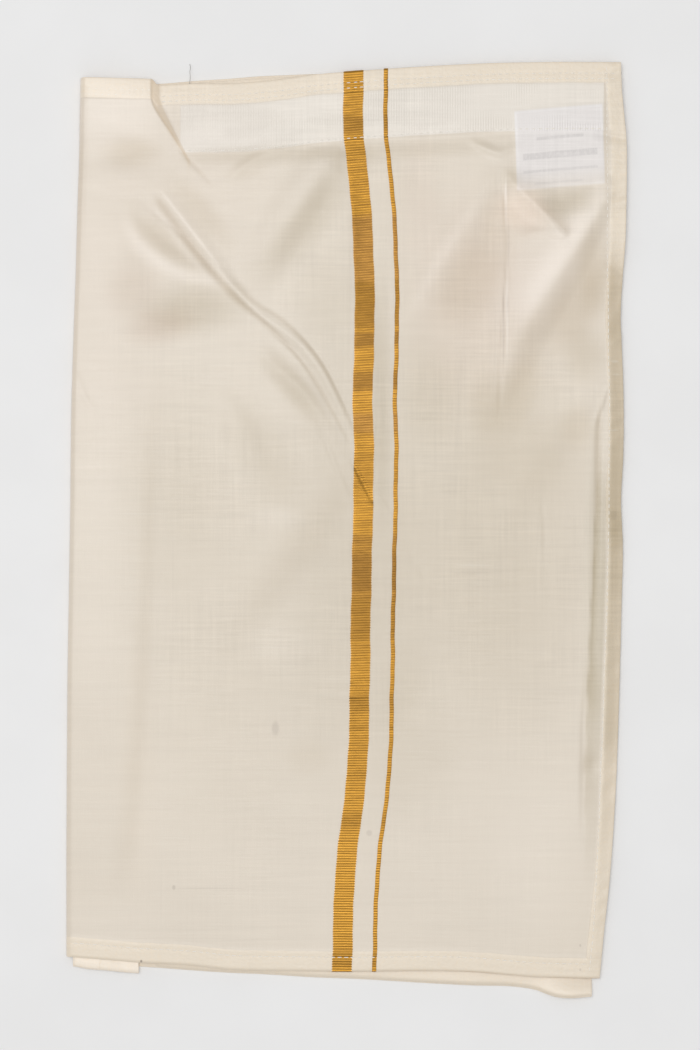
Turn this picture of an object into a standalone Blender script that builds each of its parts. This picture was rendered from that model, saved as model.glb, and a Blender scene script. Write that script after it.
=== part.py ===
"""A child's dhoti cloth, folded flat: cream art silk with a woven gold border.

The cloth lies on its rear plies. Its front ply runs from a turned side hem at the right to a
soft fold at the left. A tape and a care label are sewn inside the waist.

Every point of the front ply has two cloth coordinates, in millimetres: across, to the right of
the left fold, and drop, down from the highest point of the waist. All other pieces are made
from the front ply's grid of points, moved in or out, so they keep one gap everywhere.
"""
import math
from collections import namedtuple

import bpy
import bmesh
from mathutils import Matrix, Vector

MM = 0.001
GAP = 0.3  # between any two pieces
PLY = 1.0  # wall of one ply of cloth
HEM_PLY = 1.5  # wall where a hem is turned under
BAND_PLY = 0.4  # wall of a woven band

# Heights of the front ply's upper face over the surface the cloth lies on.
WAIST_HEIGHT = 5.0
FOOT_HEIGHT = 3.6
RETURN_LIFT = 0.6  # more, where the returned end of the cloth lies beneath
RETURN_SLOPE = 12.0  # the cloth slopes down over this width beside that end
CORNER_LIFT = 1.2  # more, at the corner of waist and fold
CORNER_REACH = 40.0
TUCK_LIFT = 1.2  # step down at the tuck's edge
SIDE_DROOP = 0.8  # the side hem hangs over the rear plies

HEM_WIDTH = 9.5  # waist hem and foot hem
TAPE_FOOT = 31.0  # lower edge of the tape, below the waist edge
LABEL_TOP = 22.3
LABEL_FOOT = 58.5
LABEL_WIDTH = 40.0
LABEL_SPACE = 1.2  # from the label to the side hem's stitches
RETURN_WIDTH = 33.0  # the cloth's other end, behind the left fold
RETURN_SHOWS = 5.0  # how far that end reaches below the front ply's foot edge
PAST_RETURN = 1.3  # space between grid lines beside its edge
BAND_WIDE = 9.1
BAND_NARROW = 2.2
BAND_PITCH = 14.6  # from the middle of one band to the middle of the other

FOLD_REACH = 2.6  # how far the left fold rounds out past the flat of the front ply
FOLD_STEPS = 6
FOLD_FOOT = 4.0  # length of the folded ply that shows under the left fold
REAR_START = 8.0  # the rear plies begin this far inside the fold
REAR_INSET = 3.5  # the side hem hangs this far over the rear plies
REAR_INSET_AT_FOOT = 2.1
TAPE_START = 51.0  # the tape begins at the first grid line past this

# The rear plies' stepped edges: how far each step stands in, and its share of the rim's height.
Step = namedtuple("Step", "inset share")
REAR_STEPS = (
    Step(0.0, 0.0),
    Step(0.0, 0.44),
    Step(1.3, 0.52),
    Step(0.6, 0.62),
    Step(1.1, 1.0),
)
RIM_HEIGHT = 0.9  # of the rear plies, as a share of their height just inside the rim
RIM_UNDER_SIDE_HEM = 0.68
NOMINAL_DROP = 410.0  # waist edge to foot edge, along the grain
SPOT_ROUNDS = 4  # goes that settle where a grid line crosses a row

# Upright lines of the front ply, in across, at each drop.
Grain = namedtuple("Grain", "drop fold band stitch edge")
GRAIN = (
    Grain(0, 6.9, 130.6, 245.6, 252.3),
    Grain(25, 6.2, 130.6, 245.8, 253.9),
    Grain(45, 5.8, 131.6, 246.0, 255.0),
    Grain(80, 4.7, 134.6, 246.0, 254.5),
    Grain(115, 3.6, 135.7, 246.4, 252.4),
    Grain(150, 2.5, 134.9, 246.8, 253.4),
    Grain(185, 1.9, 135.4, 246.9, 253.3),
    Grain(220, 1.5, 134.7, 246.5, 253.4),
    Grain(260, 0.8, 134.0, 245.3, 252.4),
    Grain(300, 0.4, 133.3, 243.8, 251.3),
    Grain(340, 0.1, 130.3, 242.5, 249.6),
    Grain(375, 0.0, 126.6, 241.0, 247.0),
    Grain(417, 0.0, 125.0, 237.5, 242.7),
)

# The waist and foot edges of the front ply and of the rear plies, as drops, at each across.
End = namedtuple("End", "across waist foot rear_waist rear_foot")
ENDS = (
    End(0, 7.5, 406.6, 9.5, 402.0),
    End(33.5, 7.7, 409.4, 9.7, 404.0),
    End(35.5, 7.7, 409.5, 9.7, 411.8),
    End(38.6, 7.8, 409.6, 9.4, 412.0),
    End(41.6, 10.8, 409.8, 9.3, 412.2),
    End(58, 9.8, 410.8, 7.8, 413.2),
    End(87, 9.0, 412.2, 5.9, 415.0),
    End(110, 6.0, 413.2, 4.9, 416.2),
    End(131, 4.0, 413.5, 4.5, 417.2),
    End(165, 1.8, 413.0, 3.0, 419.2),
    End(208, 0.0, 415.6, 2.0, 421.0),
    End(220, 0.0, 416.0, 2.0, 425.0),
    End(255, 0.0, 416.8, 2.0, 424.8),
)

# The tuck's two lines, in across, at each drop. It runs out by TUCK_END.
Tuck = namedtuple("Tuck", "drop near far")
TUCK = (
    Tuck(0, 38.6, 41.6),
    Tuck(18, 38.9, 42.6),
    Tuck(32, 47.0, 50.0),
    Tuck(46, 56.0, 59.0),
    Tuck(110, 54.0, 58.0),
    Tuck(420, 48.0, 54.0),
)
TUCK_END = 48.0

# The largest folds: soft ridges (height over 0) and troughs, each along a straight run.
Fold = namedtuple("Fold", "across drop to_across to_drop half_width height")
FOLDS = (
    Fold(44, 58, 76, 96, 8, 0.9),
    Fold(76, 96, 106, 124, 8, 0.9),
    Fold(106, 124, 130, 172, 8, 0.8),
    Fold(66, 112, 100, 142, 12, -0.5),
    Fold(118, 160, 128, 196, 8, 0.5),
    Fold(146, 205, 170, 248, 8, 0.4),
    Fold(200, 52, 203, 86, 6, 0.8),
    Fold(203, 86, 198, 130, 7, 0.5),
    Fold(206, 79, 228, 78, 7, -0.6),
    Fold(228, 78, 244, 62, 7, 0.8),
    Fold(239, 205, 238, 350, 6, -0.5),
    Fold(60, 74, 100, 66, 12, 0.5),
    Fold(20, 90, 60, 140, 16, 0.4),
    Fold(150, 92, 190, 60, 12, 0.4),
    Fold(160, 150, 215, 118, 14, 0.4),
)

# Rows of the grid, as distances below the waist edge along a cloth of NOMINAL_DROP.
NEAR_WAIST = (0.0, HEM_WIDTH, LABEL_TOP, TAPE_FOOT, 44.0, LABEL_FOOT)
BODY_ROWS = 25
ROW_HEM = 1
ROW_LABEL_TOP = 2
ROW_TAPE_FOOT = 3
ROW_LABEL_FOOT = 5

CREAM = (0.76, 0.70, 0.60)
CREAM_REAR = (0.70, 0.63, 0.53)
GOLD = (0.60, 0.36, 0.07)
WHITE = (0.82, 0.81, 0.79)


def smooth_step(value):
    value = min(max(value, 0.0), 1.0)
    return value * value * (3 - 2 * value)


def read(table, name, at):
    """The named column of a table, at this place in the table's first column."""
    for low, high in zip(table, table[1:]):
        if at <= high[0]:
            share = max((at - low[0]) / (high[0] - low[0]), 0.0)
            start = getattr(low, name)
            return start + (getattr(high, name) - start) * share
    return getattr(table[-1], name)


def grain(name, drop):
    return read(GRAIN, name, drop)


def tuck(name, drop):
    return read(TUCK, name, drop)


def end(name, across):
    return read(ENDS, name, across)


def between(start, stop, spans):
    """Functions of drop for lines evenly between two lines, with the last but not the first."""

    def line(share):
        return lambda drop: start(drop) + (stop(drop) - start(drop)) * share

    return [line((step + 1) / spans) for step in range(spans)]


def beside(name, aside):
    """A function of drop for the line that runs this far to the right of a line of the weave."""

    def line(drop):
        return grain(name, drop) + aside

    return line


def tuck_near(drop):
    """The tuck's left side, kept clear of the returned ply below it."""
    return max(tuck("near", drop), grain("fold", drop) + RETURN_WIDTH + 2 * PAST_RETURN)


def tuck_far(drop):
    return tuck_near(drop) + tuck("far", drop) - tuck("near", drop)


def upright_lines():
    """The grid's columns, left to right, and where the named ones are in the list."""
    flat = beside("fold", FOLD_REACH)
    rear = beside("fold", REAR_START)
    returned = beside("fold", RETURN_WIDTH)
    past_return = beside("fold", RETURN_WIDTH + PAST_RETURN)
    wide_left = beside("band", -BAND_WIDE / 2)
    wide_right = beside("band", BAND_WIDE / 2)
    narrow_left = beside("band", BAND_PITCH - BAND_NARROW / 2)
    narrow_right = beside("band", BAND_PITCH + BAND_NARROW / 2)
    label_left = beside("stitch", -LABEL_SPACE - LABEL_WIDTH)
    label_right = beside("stitch", -LABEL_SPACE)
    stitch = beside("stitch", 0)
    edge = beside("edge", 0)

    lines = [flat, rear]
    marks = {"flat": 0, "rear": 1}
    runs = (
        ("returned", rear, returned, 3),
        ("past_return", returned, past_return, 1),
        ("near", past_return, tuck_near, 1),
        ("far", tuck_near, tuck_far, 1),
        ("wide_left", tuck_far, wide_left, 7),
        ("wide_right", wide_left, wide_right, 1),
        ("narrow_left", wide_right, narrow_left, 1),
        ("narrow_right", narrow_left, narrow_right, 1),
        ("label_left", narrow_right, label_left, 5),
        ("label_right", label_left, label_right, 4),
        ("stitch", label_right, stitch, 1),
        ("edge", stitch, edge, 2),
    )
    for name, start, stop, spans in runs:
        lines += between(start, stop, spans)
        marks[name] = len(lines) - 1
    return lines, marks


def level_lines():
    """The grid's rows, as shares of the way from the waist edge to the foot edge."""
    last = NOMINAL_DROP - HEM_WIDTH
    step = (last - LABEL_FOOT) / BODY_ROWS
    body = [LABEL_FOOT + step * (row + 1) for row in range(BODY_ROWS)]
    return [place / NOMINAL_DROP for place in (*NEAR_WAIST, *body, NOMINAL_DROP)]


def ridge(across, drop, fold):
    """How far one fold lifts the cloth here."""
    run = Vector((fold.to_across - fold.across, fold.to_drop - fold.drop))
    offset = Vector((across - fold.across, drop - fold.drop))
    wide = fold.half_width
    along = offset.dot(run) / run.length
    aside = abs(offset.dot(Vector((-run.y, run.x)))) / run.length
    before = smooth_step((along + wide) / wide)
    after = smooth_step((run.length + wide - along) / wide)
    return fold.height * smooth_step(1 - aside / wide) * before * after


def front_height(across, drop):
    """The upper face of the front ply over the surface that the cloth lies on."""
    height = WAIST_HEIGHT + (FOOT_HEIGHT - WAIST_HEIGHT) * smooth_step(drop / NOMINAL_DROP)
    from_fold = across - grain("fold", drop)
    height += RETURN_LIFT * smooth_step(1 + (RETURN_WIDTH - from_fold) / RETURN_SLOPE)
    left_part = smooth_step((tuck("far", drop) - across) / (tuck("far", drop) - tuck("near", drop)))
    height += TUCK_LIFT * left_part * smooth_step((TUCK_END - drop) / TUCK_END)
    by_fold = smooth_step(1 - from_fold / CORNER_REACH)
    height += CORNER_LIFT * by_fold * smooth_step(1 - drop / CORNER_REACH)
    past_stitch = (across - grain("stitch", drop)) / (grain("edge", drop) - grain("stitch", drop))
    height -= SIDE_DROOP * smooth_step(past_stitch)
    return height + sum(ridge(across, drop, fold) for fold in FOLDS)


def spot(line, share):
    """Across and drop where a column meets a row, found by going to and fro a few times."""
    drop = share * NOMINAL_DROP
    for _ in range(SPOT_ROUNDS):
        across = line(drop)
        drop = end("waist", across) + (end("foot", across) - end("waist", across)) * share
    return across, drop


class Grid:
    """The front ply's points, and the thickness of what lies under each."""

    def __init__(self):
        self.lines, self.mark = upright_lines()
        self.shares = level_lines()
        self.columns = len(self.lines)
        self.rows = len(self.shares)
        self.spots = [[spot(line, share) for line in self.lines] for share in self.shares]
        self.top = [[front_height(*place) for place in row] for row in self.spots]

    def ply(self, row, column):
        """Wall of the front ply, thicker in its three hems."""
        hem = row <= ROW_HEM or row >= self.rows - 2 or column >= self.mark["stitch"]
        return HEM_PLY if hem else PLY

    def under(self, row, column):
        return self.top[row][column] - self.ply(row, column)

    def point(self, row, column, height):
        across, drop = self.spots[row][column]
        return (across, -drop, height)

    def patch(self, rows, columns, depth):
        """Points of a stretch of the grid, moved in from the front ply's inner face by depth."""
        return [
            [self.point(r, c, self.under(r, c) - depth(r, c)) for c in columns] for r in rows
        ]


def solid(name, points, faces, material):
    """One closed object from points in millimetres."""
    mesh = bpy.data.meshes.new(name)
    mesh.from_pydata([Vector(p) * MM for p in points], [], faces)
    shape = bmesh.new()
    shape.from_mesh(mesh)
    bmesh.ops.triangulate(shape, faces=shape.faces)
    bmesh.ops.recalc_face_normals(shape, faces=shape.faces)
    shape.to_mesh(mesh)
    shape.free()
    mesh.materials.append(material)
    mesh.shade_smooth()
    mesh.set_sharp_from_angle(angle=math.radians(40))
    item = bpy.data.objects.new(name, mesh)
    bpy.context.scene.collection.objects.link(item)
    return item


def cell(corner, columns):
    """One cell of a grid as two triangles, always cut the same way, so that stacked pieces nest."""
    across = corner + 1
    beyond = corner + 1 + columns
    return (corner, across, beyond), (corner, beyond, corner + columns)


def rim_of(rows, columns):
    """The places round the edge of a grid, in order."""
    rim = [(0, c) for c in range(columns)]
    rim += [(r, columns - 1) for r in range(1, rows)]
    rim += [(rows - 1, c) for c in range(columns - 2, -1, -1)]
    rim += [(r, 0) for r in range(rows - 2, 0, -1)]
    return rim


def wall(name, outer, inner, material):
    """A closed wall between two grids of points with the same rows and columns."""
    rows = len(outer)
    columns = len(outer[0])
    count = rows * columns
    points = [p for row in outer for p in row] + [p for row in inner for p in row]
    faces = []
    for r in range(rows - 1):
        for c in range(columns - 1):
            for triangle in cell(r * columns + c, columns):
                faces.append(triangle)
                faces.append(tuple(count + k for k in reversed(triangle)))
    rim = rim_of(rows, columns)
    for k, (r, c) in enumerate(rim):
        to_r, to_c = rim[(k + 1) % len(rim)]
        a = r * columns + c
        b = to_r * columns + to_c
        faces.append((b, a, count + a, count + b))
    return solid(name, points, faces, material)


def front_panel(grid, material):
    """The front ply: from a short foot underneath, round the left fold and over to the side hem."""
    outer = []
    inner = []
    for r in range(grid.rows):
        across, drop = grid.spots[r][0]
        half = grid.top[r][0] / 2
        ply = grid.ply(r, 0)
        outer_row = [(across + FOLD_FOOT, -drop, 0.0)]
        inner_row = [(across + FOLD_FOOT, -drop, ply)]
        for step in range(FOLD_STEPS, -1, -1):
            turn = math.pi * step / FOLD_STEPS
            for row, thinner in ((outer_row, 0.0), (inner_row, ply)):
                reach = (FOLD_REACH - thinner) * math.sin(turn)
                rise = (half - thinner) * math.cos(turn)
                row.append((across - reach, -drop, half + rise))
        flat = range(1, grid.columns)
        outer.append(outer_row + [grid.point(r, c, grid.top[r][c]) for c in flat])
        inner.append(inner_row + [grid.point(r, c, grid.under(r, c)) for c in flat])
    return wall("front_panel", outer, inner, material)


def woven_band(grid, name, left, right, material):
    """A woven band, lying on the front ply from the waist edge to the foot edge."""
    rows = range(grid.rows)
    columns = (grid.mark[left], grid.mark[right])

    def seat(r, c):
        return -grid.ply(r, c) - GAP

    def lift(r, c):
        return seat(r, c) - BAND_PLY

    return wall(name, grid.patch(rows, columns, lift), grid.patch(rows, columns, seat), material)


def waist_tape(grid, material):
    """The white tape inside the waist, from the tuck to the side hem."""
    rows = range(ROW_HEM, ROW_TAPE_FOOT + 1)
    start = next(c for c in range(grid.columns) if grid.spots[ROW_HEM][c][0] > TAPE_START)
    columns = range(start, grid.mark["label_right"] + 1)
    outer = grid.patch(rows, columns, lambda r, c: GAP)
    inner = grid.patch(rows, columns, lambda r, c: GAP + PLY)
    return wall("waist_tape", outer, inner, material), start


def label_depth(row, column):
    """The label lies behind the tape at its top, and against the front ply below it."""
    return 2 * GAP + PLY if row <= ROW_TAPE_FOOT else GAP


def care_label(grid, material):
    rows = range(ROW_LABEL_TOP, ROW_LABEL_FOOT + 1)
    columns = range(grid.mark["label_left"], grid.mark["label_right"] + 1)
    outer = grid.patch(rows, columns, label_depth)
    inner = grid.patch(rows, columns, lambda r, c: label_depth(r, c) + PLY)
    return wall("care_label", outer, inner, material)


def return_ply(grid, material):
    """The other end of the cloth, turned in behind the left fold. Its foot shows below."""
    columns = range(grid.mark["rear"], grid.mark["returned"] + 1)
    rows = range(ROW_HEM, grid.rows - 1)
    outer = grid.patch(rows, columns, lambda r, c: GAP)
    inner = grid.patch(rows, columns, lambda r, c: GAP + PLY)
    reach = grid.spots[-1][columns[-1]][1]
    for rows_of, depth in ((outer, GAP), (inner, GAP + PLY)):
        foot = []
        for c in columns:
            across, drop = grid.spots[-1][c]
            foot.append((across, -(drop + RETURN_SHOWS), grid.under(grid.rows - 1, c) - depth))
        rows_of.append(foot)
    return wall("return_ply", outer, inner, material)


def rear_depth(grid, row, column, tape_start):
    """How far the rear plies lie under the front ply's inner face, with room for what is sewn."""
    mark = grid.mark
    depth = GAP
    if column <= mark["past_return"]:
        depth += PLY + GAP
    if ROW_HEM <= row <= ROW_TAPE_FOOT and tape_start <= column <= mark["label_right"]:
        depth += PLY + GAP
    on_label = mark["label_left"] <= column <= mark["label_right"]
    if on_label and ROW_LABEL_TOP <= row <= ROW_LABEL_FOOT:
        depth += PLY + GAP
    return depth


def rear_edge(grid, row, column, rows, columns):
    """Where the outermost rear ply ends, beside one place on the rim of the rear plies."""
    across, drop = grid.spots[row][column]
    if column == columns[0]:
        across = grain("fold", drop) + REAR_START
    if column == columns[-1]:
        across = grain("edge", drop) - (REAR_INSET_AT_FOOT if row == rows[-1] else REAR_INSET)
    if row == rows[0]:
        drop = end("rear_waist", across)
    if row == rows[-1]:
        drop = end("rear_foot", across)
    return Vector((across, -drop, 0.0))


def rear_plies(grid, tape_start, material):
    """All hidden plies in one rounded body, with the plies' edges stepped all round."""
    columns = range(grid.mark["rear"] + 1, grid.mark["stitch"] + 1)
    rows = range(ROW_HEM, grid.rows - 1)

    def depth(r, c):
        return rear_depth(grid, r, c, tape_start)

    wide = len(columns)
    points = [Vector(p) for row in grid.patch(rows, columns, depth) for p in row]
    faces = []
    for r in range(len(rows) - 1):
        for c in range(wide - 1):
            faces.extend(cell(r * wide + c, wide))
    rim = rim_of(len(rows), wide)
    edges = [rear_edge(grid, rows[r], columns[c], rows, columns) for r, c in rim]
    seats = [points[r * wide + c] for r, c in rim]
    previous = [r * wide + c for r, c in rim]
    for inset, share in reversed(REAR_STEPS):
        start = len(points)
        for (r, c), edge, seat in zip(rim, edges, seats):
            way = Vector((seat.x - edge.x, seat.y - edge.y, 0.0)).normalized()
            rim_height = RIM_UNDER_SIDE_HEM if c == wide - 1 else RIM_HEIGHT
            points.append(edge + way * inset + Vector((0, 0, seat.z * rim_height * share)))
        loop = range(start, len(points))
        for k, here in enumerate(loop):
            n = (k + 1) % len(loop)
            faces.append((previous[n], previous[k], here, loop[n]))
        previous = loop
    faces.append(tuple(previous))
    return solid("rear_plies", points, faces, material)


def finish_of(name, colour, roughness, metallic):
    """A plain material for one kind of cloth."""
    material = bpy.data.materials.new(name)
    material.use_nodes = True
    shader = material.node_tree.nodes["Principled BSDF"]
    shader.inputs["Base Color"].default_value = (*colour, 1.0)
    shader.inputs["Roughness"].default_value = roughness
    shader.inputs["Metallic"].default_value = metallic
    material.diffuse_color = (*colour, 1.0)
    return material


def centre(items):
    """Moves the whole cloth so that its box stands on the origin."""
    corners = [item.matrix_world @ v.co for item in items for v in item.data.vertices]
    middle = [(min(p[k] for p in corners) + max(p[k] for p in corners)) / 2 for k in range(2)]
    shift = Matrix.Translation((-middle[0], -middle[1], 0.0))
    for item in items:
        item.data.transform(shift)


def build():
    for item in list(bpy.data.objects):
        bpy.data.objects.remove(item)
    silk = finish_of("cream_art_silk", CREAM, 0.5, 0.0)
    rear = finish_of("cream_art_silk_rear", CREAM_REAR, 0.5, 0.0)
    zari = finish_of("gold_zari", GOLD, 0.35, 0.7)
    tape = finish_of("white_tape", WHITE, 0.8, 0.0)
    label = finish_of("label_satin", WHITE, 0.5, 0.0)
    grid = Grid()
    sewn_tape, tape_start = waist_tape(grid, tape)
    items = [
        front_panel(grid, silk),
        return_ply(grid, silk),
        rear_plies(grid, tape_start, rear),
        woven_band(grid, "zari_band_wide", "wide_left", "wide_right", zari),
        woven_band(grid, "zari_band_narrow", "narrow_left", "narrow_right", zari),
        sewn_tape,
        care_label(grid, label),
    ]
    centre(items)


build()
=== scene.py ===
"""Looks of the folded dhoti cloth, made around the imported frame.

Every place on the front ply has two cloth coordinates, in millimetres: across, to the right of
the left fold, and drop, down from the highest point of the waist. The front ply is one sheet
with its hems turned under; the bands, stitches, tape and label are laid on the same sheet.
"""
import math
from collections import namedtuple

import bpy
import numpy as np
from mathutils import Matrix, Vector


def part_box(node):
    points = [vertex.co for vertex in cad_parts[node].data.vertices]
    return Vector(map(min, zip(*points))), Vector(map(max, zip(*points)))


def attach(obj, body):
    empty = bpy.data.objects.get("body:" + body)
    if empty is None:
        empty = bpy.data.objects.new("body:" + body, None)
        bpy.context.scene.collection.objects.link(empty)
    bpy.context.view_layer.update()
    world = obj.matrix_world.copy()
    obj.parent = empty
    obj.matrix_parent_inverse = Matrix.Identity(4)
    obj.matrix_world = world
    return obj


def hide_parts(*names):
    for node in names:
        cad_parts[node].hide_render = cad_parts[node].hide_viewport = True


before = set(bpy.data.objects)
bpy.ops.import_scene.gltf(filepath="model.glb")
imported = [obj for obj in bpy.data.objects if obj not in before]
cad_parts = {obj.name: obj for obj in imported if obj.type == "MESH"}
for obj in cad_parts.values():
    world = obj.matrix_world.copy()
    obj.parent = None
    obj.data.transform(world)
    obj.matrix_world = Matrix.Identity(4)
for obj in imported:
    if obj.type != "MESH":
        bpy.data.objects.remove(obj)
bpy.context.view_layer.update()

MM = 0.001
LOW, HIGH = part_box("front_panel")
ROOT = "root"

# ------------------------------------------------------------------ sizes of the cloth, in mm
NOMINAL = 410.0  # waist edge to foot edge, along the grain
NEAR_EDGE = 60.0  # rows keep their true distance to an edge this close to it
HEM = 9.5
TURN = 0.42  # radius of a turned hem's edge
QUARTER = math.pi * TURN / 2  # length of cloth in a quarter of that turn
CORNER_ROWS = 12  # the rows are closer together up to here from the waist and the foot
HEM_RISE = 0.2
SIDE_HEM = 7.0
TAPE_TOP = 9.9
TAPE_FOOT = 31.5
TAPE_START = 52.0
TAPE_RISE = 0.22
LABEL_WIDE = 40.0
LABEL_TALL = 36.0
LABEL_TOP = 22.6
LABEL_TILT = 0.079
LABEL_LEAN = 0.025
LABEL_TO_STITCH = 42.0
LABEL_RISE = 0.16
RETURN_WIDTH = 33.0
RETURN_SHOWS = 5.2
BAND_WIDE = 9.1
BAND_NARROW = 1.95
BAND_PITCH = 14.6
RIB = 1.14  # pitch of the bands' ribs
RIB_RISE = 0.10
BAND_LIFT = 0.15
STITCH_PITCH = 3.0
STITCH_LONG = 2.3
STITCH_THICK = 0.2
WAIST_STITCHES = (5.4, 7.8)
FOOT_STITCH = 6.8

WAIST_HEIGHT = 5.0
FOOT_HEIGHT = 3.6
RETURN_LIFT = 0.6
RETURN_SLOPE = 13.0
CORNER_LIFT = 3.2
CORNER_REACH = 40.0
TUCK_LIFT = 1.2
TUCK_END = 48.0
FOLD_REACH = 2.6
FLOOR_GAP = 0.15

# Upright lines of the front ply, in across, at each drop.
Grain = namedtuple("Grain", "drop fold band stitch edge")
GRAIN = (
    Grain(0, 6.9, 130.6, 245.6, 252.3),
    Grain(12, 6.6, 130.6, 245.7, 252.7),
    Grain(25, 6.2, 130.6, 245.8, 253.9),
    Grain(36, 6.0, 130.9, 245.9, 254.9),
    Grain(45, 5.8, 132.0, 246.0, 255.0),
    Grain(62, 5.2, 133.9, 246.0, 254.8),
    Grain(80, 4.7, 134.9, 246.0, 254.4),
    Grain(98, 4.2, 135.7, 246.2, 253.2),
    Grain(114, 3.6, 135.7, 246.4, 252.3),
    Grain(130, 3.1, 135.6, 246.6, 252.8),
    Grain(145, 2.6, 134.9, 246.8, 253.4),
    Grain(178, 2.0, 135.4, 246.9, 253.5),
    Grain(200, 1.8, 135.1, 246.7, 252.5),
    Grain(220, 1.5, 134.7, 246.5, 253.3),
    Grain(245, 1.1, 134.1, 245.9, 252.8),
    Grain(281, 0.5, 133.6, 244.6, 251.9),
    Grain(310, 0.3, 132.9, 243.6, 251.0),
    Grain(323, 0.2, 132.2, 243.1, 250.5),
    Grain(340, 0.1, 130.3, 242.5, 249.6),
    Grain(357, 0.0, 128.1, 241.7, 248.5),
    Grain(375, 0.0, 126.5, 241.0, 247.0),
    Grain(395, 0.0, 125.9, 239.6, 244.8),
    Grain(417, 0.0, 125.2, 237.5, 242.7),
)

# The waist and foot edges of the front ply and the rear plies, as drops, at each across. The
# waist column is that of the part right of the tuck; left of it the waist edge is LEFT_WAIST.
End = namedtuple("End", "across waist foot rear_waist rear_foot")
ENDS = (
    End(0, 11.6, 406.6, 7.6, 406.6),
    End(18, 11.4, 408.0, 8.6, 409.6),
    End(36, 11.2, 409.5, 9.5, 411.8),
    End(42, 10.8, 409.8, 9.3, 412.2),
    End(58, 9.8, 410.8, 8.0, 413.4),
    End(75, 9.8, 412.6, 6.9, 414.5),
    End(87, 9.0, 413.0, 5.9, 415.0),
    End(98, 7.9, 413.1, 5.4, 415.6),
    End(110, 6.1, 413.3, 4.9, 416.4),
    End(131, 4.2, 413.5, 4.5, 417.2),
    End(165, 1.9, 413.2, 3.4, 419.2),
    End(184, 0.9, 413.6, 2.6, 420.2),
    End(206, 0.2, 415.4, 2.2, 421.0),
    End(214, 0.1, 416.0, 2.0, 422.3),
    End(221, 0.0, 416.2, 2.0, 424.8),
    End(243, 0.0, 416.7, 2.0, 424.8),
    End(256, 0.0, 416.8, 2.0, 424.6),
)
LEFT_WAIST = (7.5, 7.9)

# The tuck: the left part ends at near, and the cloth slopes down to far. It ends at TUCK_END.
Tuck = namedtuple("Tuck", "drop near far")
TUCK = (
    Tuck(0, 38.8, 42.4),
    Tuck(17, 38.9, 43.0),
    Tuck(21, 40.2, 44.4),
    Tuck(32, 47.2, 49.8),
    Tuck(45, 55.4, 56.6),
    Tuck(110, 54.0, 58.0),
    Tuck(420, 48.0, 54.0),
)

# Creases: ridges (amount over 0, in mm) and troughs along smooth paths that run down the cloth.
# west and east are the widths of the two slopes; pinch makes the crest sharp.
Knot = namedtuple("Knot", "across drop west east amount")
Crease = namedtuple("Crease", "pinch knots")


def crease(pinch, *knots):
    return Crease(pinch, tuple(Knot(*knot) for knot in knots))


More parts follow.
